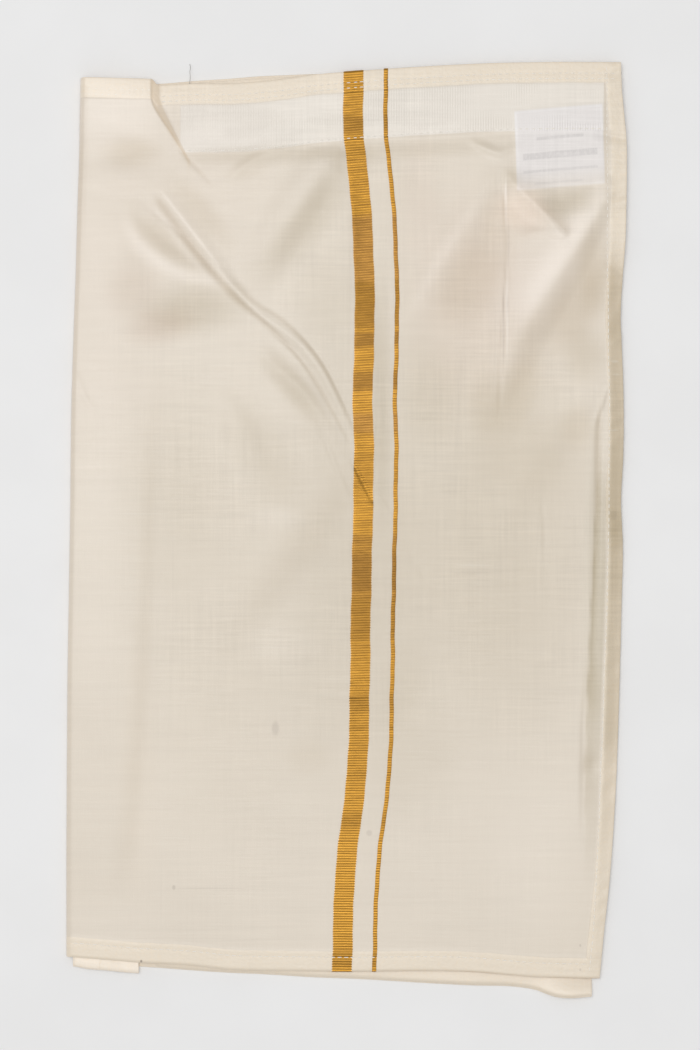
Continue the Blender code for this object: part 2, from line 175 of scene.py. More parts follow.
CREASES = (
    # the long diagonal crease from the tuck to the band, steep on its west side, and thin ones by it
    crease(0.5, (40, 55, 3, 5, 0), (46.5, 63.5, 3.2, 6, 0.34), (60, 81, 3.4, 6, 0.5),
           (70, 94, 3.4, 6, 0.52),
           (78.5, 105, 3.2, 5, 0.52), (88, 114.5, 3, 5, 0.5), (100, 123, 3, 5, 0.5),
           (108, 130, 2.8, 4, 0.45),
           (116, 141, 2.6, 4, 0.4), (124, 157, 2.4, 4, 0.3), (131, 174, 2, 4, 0.1), (134, 182, 2, 3, 0)),
    crease(0.8, (84, 113, 1.4, 1.4, 0), (96, 124.5, 1.6, 1.6, -0.3), (106, 133.5, 1.6, 1.6, -0.34),
           (114, 146, 1.5, 1.5, -0.3), (123, 163, 1.5, 1.5, 0)),
    crease(0.8, (104, 121, 1.4, 1.4, 0), (111.5, 129, 1.5, 1.5, -0.3), (119, 140, 1.5, 1.5, -0.34),
           (126.5, 155, 1.5, 1.5, -0.3), (132, 168, 1.5, 1.5, 0)),
    crease(0.8, (114, 160, 2.5, 1.2, 0), (121, 179, 3, 1.3, 0.3), (128.5, 198, 2.5, 1.3, 0.1),
           (131, 206, 2, 1.3, 0)),
    crease(0.5, (54, 43, 2, 2, -0.1), (60, 49, 2, 2, -0.26), (67, 57, 2, 2, 0)),
    # the ridge that loops below it, and the slopes that it throws to both sides
    crease(0, (24, 56, 8, 8, 0), (29.5, 75, 11, 10, 0.4), (39.5, 86, 16, 11, 0.7), (52, 93.5, 22, 11, 0.9),
           (65, 98.5, 21, 9, 0.8), (76, 103.5, 14, 5, 0.4), (83, 108, 8, 4, 0)),
    crease(0.3, (30, 63, 4, 3, 0), (40, 71, 5, 3, 0.3), (52, 81, 5, 3, 0.36), (64, 93, 4, 3, 0)),
    # the broad ridge from the tape down to the left, and the one along the band
    crease(0, (126, 40, 9, 9, 0), (118, 46, 13, 12, 1.1), (107, 62, 15, 12, 1.5), (95, 82, 14, 12, 1.3),
           (86, 102, 12, 12, 0.4), (82, 112, 10, 10, 0)),
    crease(0, (128, 52, 10, 9, 0.1), (127, 74, 13, 10, 0.5), (126, 100, 13, 10, 0.4), (126, 128, 10, 8, 0)),
    # ridges below the long crease
    crease(0.25, (84, 124, 7, 7, 0), (94, 137, 8, 7, 0.6), (108, 150, 9, 7, 0.8),
           (122, 171, 8, 7, 0.4), (128, 190, 7, 7, 0)),
    crease(0, (64, 146, 10, 10, 0), (77, 164, 12, 11, 0.7), (88, 186, 12, 10, 0.4), (96, 205, 10, 10, 0)),
    crease(0, (128, 192, 14, 14, 0.1), (106, 217, 17, 16, 0.55), (88, 240, 17, 16, 0.5),
           (70, 268, 14, 12, 0)),
    # near the waist at the left
    crease(0, (10, 33, 8, 10, 0.2), (24, 30, 9, 11, 0.5), (42, 32, 9, 8, 0.1)),
    crease(0, (8, 52, 9, 12, 0.2), (22, 53, 9, 12, 0.7), (40, 55, 9, 9, 0.1)),
    crease(0.3, (98, 38, 3, 3, 0.1), (86, 44, 4, 3, 0.4), (78, 50, 4, 4, 0.4), (72, 57, 4, 4, 0)),
    crease(0.5, (5, 142, 3, 2.5, -0.2), (9, 153, 3, 2.5, -0.3), (15, 160, 3, 3, 0)),
    # the folds that meet under the label
    crease(0.15, (199, 48, 4, 5, 0), (191, 57, 9, 9, 0.6), (177, 80, 13, 18, 1.1), (161, 106, 12, 20, 1.0),
           (152, 124, 11, 14, 0.4), (148, 140, 9, 9, 0)),
    crease(0.9, (199.4, 51, 1.2, 1.4, 0), (200, 64, 1.3, 1.5, -0.6), (200.8, 90, 1.3, 1.5, -0.35),
           (199.4, 112, 1.5, 1.5, -0.6), (197.6, 140, 1.4, 1.4, -0.4), (197, 165, 1.4, 1.4, 0)),
    crease(0.6, (199, 48, 4, 6, 0.1), (204, 56, 8, 12, 1.1), (214, 65.5, 9, 13, 1.3),
           (224.5, 77.5, 6, 8, 0.8), (227, 81, 3, 3, 0)),
    crease(0.5, (202, 83, 5, 5, 0), (208, 79.5, 6, 5, 0.4), (216, 77.5, 6, 5, 0.5), (225, 79, 4, 3, 0.2)),
    crease(0.1, (247, 57, 8, 3, 0.3), (243, 65, 16, 7, 1.0), (230, 86, 24, 11, 1.6),
           (213, 114, 24, 13, 1.6),
           (202, 136, 18, 13, 1.1), (192, 156, 12, 10, 0.3), (188, 168, 8, 8, 0)),
    crease(0, (242, 140, 8, 12, 0.2), (228, 158, 14, 14, 0.5), (212, 182, 15, 15, 0.45),
           (198, 212, 10, 10, 0)),
    crease(0.8, (128, 177, 1.4, 1.4, 0), (132.5, 186, 1.4, 1.4, -0.35), (137.5, 196, 1.4, 1.4, -0.35),
           (142, 204, 1.3, 1.3, 0)),
    crease(0.5, (182, 35, 3, 3, 0), (189, 38.5, 3.5, 3.5, 0.6), (197, 41.5, 3.5, 3.5, 0.65),
           (204, 38.5, 3, 3, 0.15)),
    # the soft step where the tape ends
    crease(0.2, (52, 40.5, 8, 2.4, -0.1), (62, 40.8, 9, 2.4, -0.4), (96, 39.6, 9, 2.4, -0.36),
           (126, 37.4, 7, 2.4, -0.2),
           (146, 35.8, 8, 2.4, -0.25), (186, 33.6, 8, 2.4, -0.3), (202, 33, 5, 2.4, -0.1)),
    # along the side hem
    crease(0.6, (243.6, 150, 2, 2, 0), (242.6, 166, 3, 2, -0.5), (241.6, 200, 4, 2.2, -0.55),
           (240.6, 240, 4, 2.4, -0.35), (239.4, 276, 4, 2.4, -0.2), (238, 300, 4, 2.4, 0)),
    crease(0.6, (236.4, 284, 2, 2, 0), (235.6, 300, 2.4, 2.4, -0.35), (235, 330, 2, 2.4, -0.4),
           (235.4, 358, 2, 2, 0)),
    crease(0.3, (246, 318, 7, 5, 0.2), (240, 320, 7, 5, -0.5), (234, 324, 4, 4, 0)),
    crease(0.4, (243, 33, 4, 3, -0.3), (249, 34, 4, 3, -0.7), (255, 35, 4, 3, -0.7)),
    crease(0.5, (245, 62, 3, 4, 0), (249, 64, 3, 4, 0.4), (255, 63, 3, 4, 0.4)),
    crease(0.6, (249, 127.5, 2, 2, 0.4), (253, 124, 2, 2, 0.6)),
    crease(0.6, (246, 148, 2, 1.6, 0.2), (243, 157, 2, 1.6, 0.5), (240.4, 164.5, 2, 1.6, 0.2)),
    crease(0.4, (247, 92, 3, 3, -0.2), (253, 96, 3, 3, -0.7)),
    # thin creases of the lower half
    crease(0.9, (140, 195, 1.2, 1.2, 0), (144.5, 201, 1.2, 1.2, 0.35), (149.5, 210, 1.2, 1.2, 0)),
    crease(0.9, (153, 218, 1.3, 1.3, 0), (161, 231, 1.3, 1.3, -0.35), (173, 250, 1.3, 1.3, 0)),
    crease(0.9, (215.5, 195, 1.2, 1.2, 0), (217.4, 210, 1.2, 1.2, -0.3), (217.9, 240, 1.2, 1.2, 0)),
    crease(0.3, (167, 231, 3, 1.8, 0), (183, 230, 3.5, 1.8, 0.3), (198, 230, 3, 1.8, 0)),
    crease(0.6, (80, 282, 1.8, 1.6, 0), (106, 282.4, 1.8, 1.6, 0.14), (129, 282, 1.8, 1.6, 0.2)),
    crease(0.6, (108, 288.6, 1.8, 1.6, 0), (128, 288.4, 1.8, 1.6, 0.18), (147, 288.4, 1.8, 1.6, 0)),
)

# Droop of the side hem outside its stitches, at each drop.
Droop = namedtuple("Droop", "drop depth")
DROOP = (Droop(0, 0.35), Droop(80, 0.4), Droop(100, 1.7), Droop(300, 1.9), Droop(360, 0.9), Droop(417, 0.5))


# ------------------------------------------------------------------ reading tables
def smooth_step(value):
    value = np.clip(value, 0.0, 1.0)
    return value * value * (3 - 2 * value)


def curve(table, name, at):
    """The named column of a table as a smooth curve, read at places in its first column."""
    keys = np.array([row[0] for row in table], float)
    values = np.array([getattr(row, name) for row in table], float)
    slopes = np.gradient(values, keys)
    at = np.clip(at, keys[0], keys[-1])
    low = np.clip(np.searchsorted(keys, at, side="right") - 1, 0, len(keys) - 2)
    span = keys[low + 1] - keys[low]
    t = (at - keys[low]) / span
    start = values[low] * (1 + 2 * t) * (1 - t) ** 2 + slopes[low] * span * t * (1 - t) ** 2
    stop = values[low + 1] * (3 - 2 * t) * t**2 - slopes[low + 1] * span * t**2 * (1 - t)
    return start + stop


def line(table, name, at):
    """The named column of a table, read along straight lines."""
    return np.interp(at, [row[0] for row in table], [getattr(row, name) for row in table])


def fold_at(drop):
    return curve(GRAIN, "fold", drop)


def band_at(drop):
    return curve(GRAIN, "band", drop)


def stitch_at(drop):
    return curve(GRAIN, "stitch", drop)


def edge_at(drop):
    return curve(GRAIN, "edge", drop)


def near_at(drop):
    return line(TUCK, "near", drop)


def far_at(drop):
    return line(TUCK, "far", drop)


def tuck_share(across, drop):
    """1 left of the tuck, 0 right of it."""
    near, far = near_at(drop), far_at(drop)
    return 1 - np.clip((across - near) / (far - near), 0.0, 1.0)


def waist_at(across):
    left = np.interp(across, (0.0, TUCK[0].near), LEFT_WAIST)
    right = curve(ENDS, "waist", across)
    share = smooth_step((across - TUCK[0].near) / (TUCK[0].far - TUCK[0].near))
    return left + (right - left) * share


def foot_at(across):
    return curve(ENDS, "foot", across)


# ------------------------------------------------------------------ the front ply's form
def ridge(across, drop, crease):
    """The amount of a soft ridge along one crease's path, at arrays of places."""
    keys = np.arange(len(crease.knots))
    rows = [(key, *knot) for key, knot in zip(keys, crease.knots)]
    Row = namedtuple("Row", ("key",) + Knot._fields)
    table = [Row(*row) for row in rows]
    at = np.linspace(0, keys[-1], 10 * keys[-1] + 1)
    path = {name: curve(table, name, at) for name in ("across", "drop")}
    path.update({name: line(table, name, at) for name in ("west", "east", "amount")})
    reach = max(path["west"].max(), path["east"].max())
    inside = (
        (across > path["across"].min() - reach) & (across < path["across"].max() + reach)
        & (drop > path["drop"].min() - reach) & (drop < path["drop"].max() + reach)
    )
    amount = np.zeros_like(across)
    if not inside.any():
        return amount
    x, y = across[inside], drop[inside]
    nearest = np.full(x.shape, 1e9)
    found = {name: np.zeros(x.shape) for name in ("west", "east", "amount", "side")}
    for k in range(len(at) - 1):
        ax, ay = path["across"][k], path["drop"][k]
        run_x, run_y = path["across"][k + 1] - ax, path["drop"][k + 1] - ay
        square = run_x * run_x + run_y * run_y
        share = np.clip(((x - ax) * run_x + (y - ay) * run_y) / square, 0, 1)
        off_x, off_y = x - ax - run_x * share, y - ay - run_y * share
        away = np.hypot(off_x, off_y)
        closer = away < nearest
        nearest = np.where(closer, away, nearest)
        found["side"] = np.where(closer, run_x * off_y - run_y * off_x, found["side"])
        for name in ("west", "east", "amount"):
            value = path[name][k] + (path[name][k + 1] - path[name][k]) * share
            found[name] = np.where(closer, value, found[name])
    # a blend of the two widths close to the crest keeps the slope's width from jumping
    turn = smooth_step(found["side"] / np.maximum(nearest, 1e-6) * 0.5 + 0.5)
    width = found["east"] + (found["west"] - found["east"]) * turn
    slope = np.clip(1 - nearest / width, 0, 1)
    soft = smooth_step(slope)
    sharp = slope**2
    amount[inside] = found["amount"] * (soft + (sharp - soft) * crease.pinch)
    return amount


# Long soft waves of the resting cloth: how often along each way, in radians a millimetre.
Wave = namedtuple("Wave", "across drop start height")
WAVES = (
    Wave(0.071, 0.043, 0.6, 0.10),
    Wave(-0.052, 0.088, 2.1, 0.08),
    Wave(0.13, -0.061, 4.0, 0.045),
    Wave(0.094, 0.155, 1.2, 0.035),
    Wave(0.21, 0.05, 5.1, 0.02),
    Wave(-0.17, 0.19, 3.3, 0.02),
)


def front_level(drop):
    """The plain height of the front ply's face, without its creases."""
    return WAIST_HEIGHT + (FOOT_HEIGHT - WAIST_HEIGHT) * smooth_step(drop / NOMINAL)


def front_height(across, drop):
    """The upper face of the front ply over the surface that the cloth lies on."""
    height = front_level(drop)
    from_fold = across - fold_at(drop)
    lying_close = 0.3 + 0.7 * smooth_step((drop - 110) / 60)
    over_return = smooth_step((RETURN_WIDTH + RETURN_SLOPE - from_fold) / RETURN_SLOPE)
    height += RETURN_LIFT * lying_close * over_return
    share = tuck_share(across, drop)
    step = 0.1 * (share >= 1.0) + 0.9 * share
    height += TUCK_LIFT * step * smooth_step((TUCK_END - drop) / TUCK_END * 1.6)
    by_fold = smooth_step(1 - from_fold / CORNER_REACH)
    height += CORNER_LIFT * by_fold * smooth_step(1 - drop / CORNER_REACH)
    past = (across - stitch_at(drop)) / SIDE_HEM
    height -= line(DROOP, "depth", drop) * smooth_step(past) ** 0.7
    calm = smooth_step((NOMINAL - drop) / 160) * 0.75 + 0.25
    for wave in WAVES:
        phase = wave.across * across + wave.drop * drop + wave.start
        height += wave.height * calm * np.sin(phase)
    for path in CREASES:
        height += ridge(across, drop, path)
    return height


def turn_under(along):
    """Where a turned edge lies, for lengths along the cloth from the edge's outermost line.

    Returns the distance in from the edge and the depth under the upper face. Lengths below
    zero are on the part that is turned under."""
    angle = np.clip(along / TURN, -math.pi / 2, math.pi / 2)
    inward = TURN - TURN * np.cos(angle)
    depth = TURN - TURN * np.sin(angle)
    inward = inward + np.maximum(np.abs(along) - QUARTER, 0.0)
    return inward, depth


def front_ends(across):
    return waist_at(across), foot_at(across)


def lay(across_at, lengths, ends_at=front_ends, rounds=6):
    """Lays rows of a ply: across, drop and the depth of its turned edges.

    across_at gives the columns' across at a drop, for arrays of shape (rows, columns), and
    ends_at the drops of the waist and foot edges. lengths are the rows' nominal distances from
    the waist edge, below 0 and above NOMINAL on the parts that are turned under."""
    lengths = np.asarray(lengths, float)[:, None]
    from_waist, waist_depth = turn_under(lengths)
    from_foot, foot_depth = turn_under(NOMINAL - lengths)
    middle = (lengths - NEAR_EDGE) / (NOMINAL - 2 * NEAR_EDGE)
    drop = lengths + 5.0
    for _ in range(rounds):
        across = across_at(drop)
        waist, foot = ends_at(across)
        tall = foot - waist
        inner = NEAR_EDGE + middle * (tall - 2 * NEAR_EDGE)
        distance = np.where(lengths < NEAR_EDGE, from_waist, inner)
        distance = np.where(lengths > NOMINAL - NEAR_EDGE, tall - from_foot, distance)
        drop = waist + distance
    return across, drop, waist_depth + foot_depth + np.zeros_like(drop)


def pucker(across, length, row):
    """The groove of one row of stitches, deepest where the thread goes in."""
    aside = np.exp(-((length - row) / 0.75) ** 2)
    return -aside * (0.06 + 0.05 * np.cos(2 * np.pi * across / STITCH_PITCH))


def label_place(across, drop, length):
    """Place in the label: to the right of its left edge and down from its top edge."""
    start = stitch_at(drop) - LABEL_TO_STITCH
    right = across - start - LABEL_LEAN * (length - LABEL_TOP)
    down = length - LABEL_TOP + LABEL_TILT * right
    return right, down


def edge_of(value, soft=0.5):
    """A step from 0 to 1 over a short width around 0."""
    return smooth_step(value / soft + 0.5)


def relief(across, drop, length):
    """What the hems, the stitches and the pieces sewn beneath add to the front ply's face."""
    from_foot = NOMINAL - length
    from_side = edge_at(drop) - across
    hems = np.maximum(edge_of(HEM - length, 1.4), 0.8 * edge_of(HEM - from_foot, 2.0))
    hems = np.maximum(hems, edge_of(SIDE_HEM - from_side, 1.1))
    rise = HEM_RISE * hems
    right_of_tuck = edge_of(across - TAPE_START, 1.0) * edge_of(stitch_at(drop) - 0.6 - across, 1.0)
    on_tape = edge_of(length - TAPE_TOP, 1.0) * edge_of(TAPE_FOOT - length, 1.0) * right_of_tuck
    rise += TAPE_RISE * on_tape
    right, down = label_place(across, drop, length)
    on_label = edge_of(right, 0.9) * edge_of(LABEL_WIDE - right, 0.9)
    on_label *= edge_of(down, 0.9) * edge_of(LABEL_TALL - down, 0.9)
    rise += LABEL_RISE * on_label
    plain = 1 - 0.93 * edge_of(near_at(drop) - across, 1.0)
    for row in WAIST_STITCHES:
        rise += pucker(across, length, row) * plain
    rise += pucker(across, length, TAPE_FOOT - 0.9) * right_of_tuck * 1.2
    rise += pucker(across, from_foot, FOOT_STITCH)
    rise += pucker(length, across, stitch_at(drop)) * edge_of(length - 3, 2) * 1.2
    # small gathers across the hems, between the stitches
    near_hem = smooth_step(1 - np.abs(length - 7.5) / 9) + smooth_step(1 - np.abs(from_foot - 6.0) / 9)
    rise += near_hem * 0.035 * np.sin(across * 1.9 + 1.7 * np.sin(across * 0.31)) * np.sin(across * 0.83)
    near_side = smooth_step(1 - np.abs(across - stitch_at(drop)) / 6)
    rise += near_side * 0.05 * np.sin(drop * 1.3 + 1.9 * np.sin(drop * 0.21)) * np.sin(drop * 0.57)
    outside = smooth_step((across - stitch_at(drop)) / 3)
    wrinkle = np.sin(drop * 0.62 + 2.6 * np.sin(drop * 0.083) + (across - 250) * 0.35)
    rise += outside * 0.24 * wrinkle * (0.4 + 0.6 * np.sin(drop * 0.117 + 1))
    return rise


def front_face(across, drop, length):
    return front_height(across, drop) + relief(across, drop, length)


def place(across, drop, height):
    """Points in metres from cloth coordinates in millimetres."""
    across, drop, height = np.broadcast_arrays(across, drop, height)
    return np.stack([LOW.x + across * MM, HIGH.y - drop * MM, height * MM], axis=-1)


# ------------------------------------------------------------------ meshes
def grid_faces(rows, columns):
    """The faces of a grid, and the numbers of its points."""
    index = np.arange(rows * columns).reshape(rows, columns)
    corners = (index[:-1, :-1], index[1:, :-1], index[1:, 1:], index[:-1, 1:])
    return np.stack(corners, axis=-1).reshape(-1, 4), index


def grid_piece(name, points, attributes=None):
    """A sheet from a grid of points, with vector attributes for its material."""
    faces, _ = grid_faces(*points.shape[:2])
    return piece(name, points.reshape(-1, 3), faces, attributes)


def piece(name, points, faces, attributes=None):
    mesh = bpy.data.meshes.new(name)
    mesh.from_pydata(points, [], faces)
    for key, values in (attributes or {}).items():
        layer = mesh.attributes.new(key, "FLOAT_VECTOR", "POINT")
        layer.data.foreach_set("vector", np.asarray(values, np.float32).ravel())
    mesh.shade_smooth()
    mesh.update()
    item = bpy.data.objects.new(name, mesh)
    bpy.context.scene.collection.objects.link(item)
    return item


def slab(name, outer, inner, attributes=None):
    """A thin closed piece between two grids of points."""
    rows, columns = outer.shape[:2]
    front, index = grid_faces(rows, columns)
    back = front[:, ::-1] + rows * columns
    rim = np.concatenate([index[0, :-1], index[:-1, -1], index[-1, :0:-1], index[:0:-1, 0]])
    after = np.roll(rim, -1)
    sides = np.stack([rim, after, after + rows * columns, rim + rows * columns], axis=-1)
    points = np.concatenate([outer.reshape(-1, 3), inner.reshape(-1, 3)])
    doubled = {key: np.concatenate([v.reshape(-1, 3)] * 2) for key, v in (attributes or {}).items()}
    return piece(name, points, np.concatenate([front, back, sides]), doubled)


def vectors(*parts):
    parts = np.broadcast_arrays(*parts)
    return np.stack(parts, axis=-1)


# ------------------------------------------------------------------ the front panel
def spread(start, stop, step):
    """Evenly spaced values from start up to, but without, stop."""
    count = max(int(round(abs(stop - start) / step)), 1)
    return list(np.linspace(start, stop, count, endpoint=False))


def hemmed_rows(fold_step, *runs):
    """Rows from one turned hem to the other, with runs of (start, stop, step) between them."""
    turned = spread(-HEM, -QUARTER, 2.2) + spread(-QUARTER, QUARTER, fold_step)
    rows = list(turned)
    for run in runs:
        rows += spread(*run)
    return np.array(rows + [NOMINAL - value for value in reversed(turned)])


def front_rows():
    return hemmed_rows(
        0.22, (QUARTER, CORNER_ROWS, 0.8), (CORNER_ROWS, 36, 1.0), (36, 205, 0.98),
        (205, NOMINAL - CORNER_ROWS, 2.1), (NOMINAL - CORNER_ROWS, NOMINAL - QUARTER, 0.8),
    )


# Columns of the front panel between its guide lines, with the number of spans in each run.
GUIDES = (
    lambda drop: fold_at(drop) + FOLD_REACH,
    near_at,
    lambda drop: near_at(drop) + 0.12,
    far_at,
    lambda drop: band_at(drop) - 6,
    lambda drop: band_at(drop) + 18,
    lambda drop: stitch_at(drop) - 3,
    lambda drop: edge_at(drop) - SIDE_HEM + 0.5,
)
SPANS = (44, 1, 8, 66, 22, 84, 5)
FOLD_ANGLES = 13
UNDER_FOLD = 4.0


def front_columns():
    """Functions of drop for the flat columns, left to right."""
    columns = [GUIDES[0]]
    for start, stop, count in zip(GUIDES, GUIDES[1:], SPANS):
        for step in range(1, count + 1):
            columns.append(
                lambda drop, a=start, b=stop, share=step / count: a(drop) + (b(drop) - a(drop)) * share
            )
    return columns


def inside_edge(inward):
    """A line at a distance in from the right-hand edge."""
    return lambda drop: edge_at(drop) - inward


def columns_at(lines):
    """The across of every column at its drop, from one function of drop for each column."""

    def across_at(drop):
        drop = np.broadcast_to(drop, (len(drop), len(lines)))
        return np.stack([at(drop[:, k]) for k, at in enumerate(lines)], axis=1)

    return across_at


def front_panel():
    """The front ply: its face, the fold at its left and the side hem turned under at its right."""
    side = spread(SIDE_HEM - 1.2, QUARTER, 0.9) + spread(QUARTER, -QUARTER, 0.22)
    side += spread(-QUARTER, -SIDE_HEM + 1, 1.5)
    side_in, side_depth = turn_under(np.array(side))
    angles = np.linspace(math.pi, 0, FOLD_ANGLES + 1)[:-1]
    under = np.array([UNDER_FOLD, UNDER_FOLD / 2])
    turned = len(under) + len(angles)
    lines = [GUIDES[0]] * turned + front_columns() + [inside_edge(inward) for inward in side_in]
    rows = front_rows()
    across, drop, depth = lay(columns_at(lines), rows)
    length = np.broadcast_to(rows[:, None], across.shape)
    height = front_face(across, drop, length)
    depth[:, -len(side):] += side_depth[None, :]
    # the left fold rounds down to the surface, and a strip of the cloth lies under it
    theta = np.concatenate([np.full(len(under), math.pi), angles])[None, :]
    top = height[:, :turned]
    middle = (top + FLOOR_GAP) / 2
    half = (top - FLOOR_GAP) / 2
    shown_across = across.copy()
    shown_across[:, :turned] -= FOLD_REACH * np.sin(theta)
    shown_across[:, :turned] += np.concatenate([under, np.zeros(len(angles))])[None, :]
    shown_across[:, :turned] += depth[:, :turned] * np.sin(theta)
    shown_height = height - depth
    shown_height[:, :turned] = middle + half * np.cos(theta) - depth[:, :turned] * np.cos(theta)
    right, down = label_place(across, drop, length)
    shade, warm, rosy = painted_tones(across, drop)
    # painted light on the round of the left fold: paler and warmer, as light shining through the thin silk
    shade[:, :turned] -= 0.1 * np.sin(theta)
    warm[:, :turned] += 0.3 * np.sin(theta)
    return grid_piece("front_cloth", place(shown_across, drop, shown_height), {
        "cloth": vectors(across, drop, edge_at(drop) - across),
        "edges": vectors(length, NOMINAL - length, across - stitch_at(drop)),
        "label": vectors(right, down, 0.0),
        "tone": vectors(shade, warm, rosy),
    })


# Soft patches of painted shade and painted sheen: darker (shade over 0) where the silk turns from the
# light, paler where it catches the light; warm over 0 is yellower, rosy pinker. lean is in degrees.
Patch = namedtuple("Patch", "across drop half_across half_drop lean shade warm rosy", defaults=(0.0,))
SHADE_AND_SHEEN_PATCHES = (
    Patch(30, 41, 14, 7.5, 0, 0.12, 0.25),
    Patch(22, 22, 26, 20, 0, -0.13, 0.0),
    Patch(14, 110, 14, 100, 0, -0.035, 0.0),
    Patch(45, 82, 22, 7, 41, 0.12, 0.1),
    Patch(61, 68, 22, 7, 50, 0.09, 0.15),
    Patch(58, 112, 24, 12.5, -4, 0.19, 0.0),
    Patch(43, 120, 17, 9, -12, 0.11, 0.05, 0.5),
    Patch(31, 104, 14, 15, 0, 0.09, 0.0, 0.3),
    Patch(103, 147, 22, 7, 50, 0.11, 0.1),
    Patch(90, 176, 28, 13, 62, 0.07, 0.0),
    Patch(107, 74, 37, 11, -52, 0.15, 0.0),
    Patch(92, 42, 40, 5, -2, 0.09, 0.05),
    Patch(83, 49, 11, 5, -20, 0.06, 0.1),
    Patch(116, 106, 16, 22, 0, 0.05, 0.0),
    Patch(84, 245, 60, 110, 0, 0.08, 0.0),
    Patch(14, 235, 16, 60, 0, -0.025, -0.05),
    Patch(98, 264, 20, 12, 0, -0.03, 0.0),
    Patch(94, 207, 14, 6, 0, -0.05, 0.0),
    Patch(110, 316, 12, 9, 0, 0.035, 0.1),
    Patch(160, 40, 44, 5, -3, 0.08, 0.05),
    Patch(131, 44, 11, 8, 0, 0.06, 0.1),
    Patch(228, 64, 15, 7, -5, 0.17, -0.2),
    Patch(202, 53, 5, 5, 30, 0.10, 0.1),
    Patch(208, 67, 14, 11, 30, -0.05, 0.65, 0.5),
    Patch(211, 98, 13, 26, 28, -0.07, -0.15, 0.0),
    Patch(196, 72, 9, 12, 0, 0.03, 0.3),
    Patch(184, 100, 26, 15, -60, 0.09, 0.25),
    Patch(240, 95, 8, 22, 0, 0.10, 0.3),
    Patch(232, 112, 24, 11, -58, 0.12, 0.25),
    Patch(206, 150, 20, 9, -68, 0.07, 0.25),
    Patch(191, 156, 9, 17, 0, 0.07, 0.15),
    Patch(233, 166, 10, 11, 0, 0.05, 0.25),
    Patch(214, 178, 26, 22, 0, 0.04, 0.1),
    Patch(143, 152, 5.5, 55, 0, 0.125, 0.0),
    Patch(158, 60, 16, 26, 0, 0.03, 0.05),
    Patch(192, 222, 58, 95, 0, 0.15, 0.05),
    Patch(192, 118, 46, 60, 0, 0.05, 0.1),
    Patch(152, 282, 13, 26, 20, 0.05, 0.0),
    Patch(214, 362, 26, 40, 0, -0.035, -0.05),
    Patch(20, 392, 26, 14, 0, -0.03, 0.0),
    Patch(133, 195, 32, 165, 0, 0.10, 0.0),
    Patch(166, 150, 15, 26, 0, 0.08, 0.0),
    Patch(48, 190, 24, 52, 0, 0.06, 0.0),
    Patch(236, 133, 10, 14, 0, 0.12, 0.1),
    Patch(208, 120, 9, 14, 0, 0.06, 0.0),
    Patch(239, 285, 5, 16, 0, 0.07, 0.1),
    Patch(160, 60, 10, 30, 0, 0.0, 0.0, 0.3),
    Patch(182, 104, 32, 54, 0, 0.0, 0.05, 0.5),
    Patch(216, 100, 34, 46, 0, 0.0, 0.0, 0.3),
    Patch(158, 314, 24, 36, 0, 0.07, 0.0),
    Patch(45, 60, 60, 66, 0, 0.0, 0.0, 0.2),
    Patch(20, 130, 30, 60, 0, 0.0, 0.0, 0.15),
    Patch(33, 330, 9, 80, 0, 0.0, 0.12, 0.0),
    Patch(241, 240, 7, 80, 0, 0.0, 0.0, -0.2),
)

# How much darker the drooping side hem is painted, as shade where it turns from the light, at each drop.
SideShade = namedtuple("SideShade", "drop shade")
SIDE_SHADE = (
    SideShade(80, 0.18), SideShade(120, 0.22), SideShade(170, 0.19), SideShade(200, 0.28),
    SideShade(215, 0.27), SideShade(240, 0.18), SideShade(285, 0.15), SideShade(308, 0.16),
    SideShade(322, 0.03), SideShade(360, 0.02),
)

# The hollow inside the side hem's stitches, painted darker as shade, at each drop: its left line and its
# shade.
Slack = namedtuple("Slack", "drop left shade")
HOLLOW_SHADE = (
    Slack(178, 242.4, 0.0), Slack(200, 241.0, 0.15), Slack(243, 238.9, 0.19), Slack(288, 236.9, 0.18),
    Slack(330, 235.8, 0.11), Slack(376, 236.0, 0.0),
)
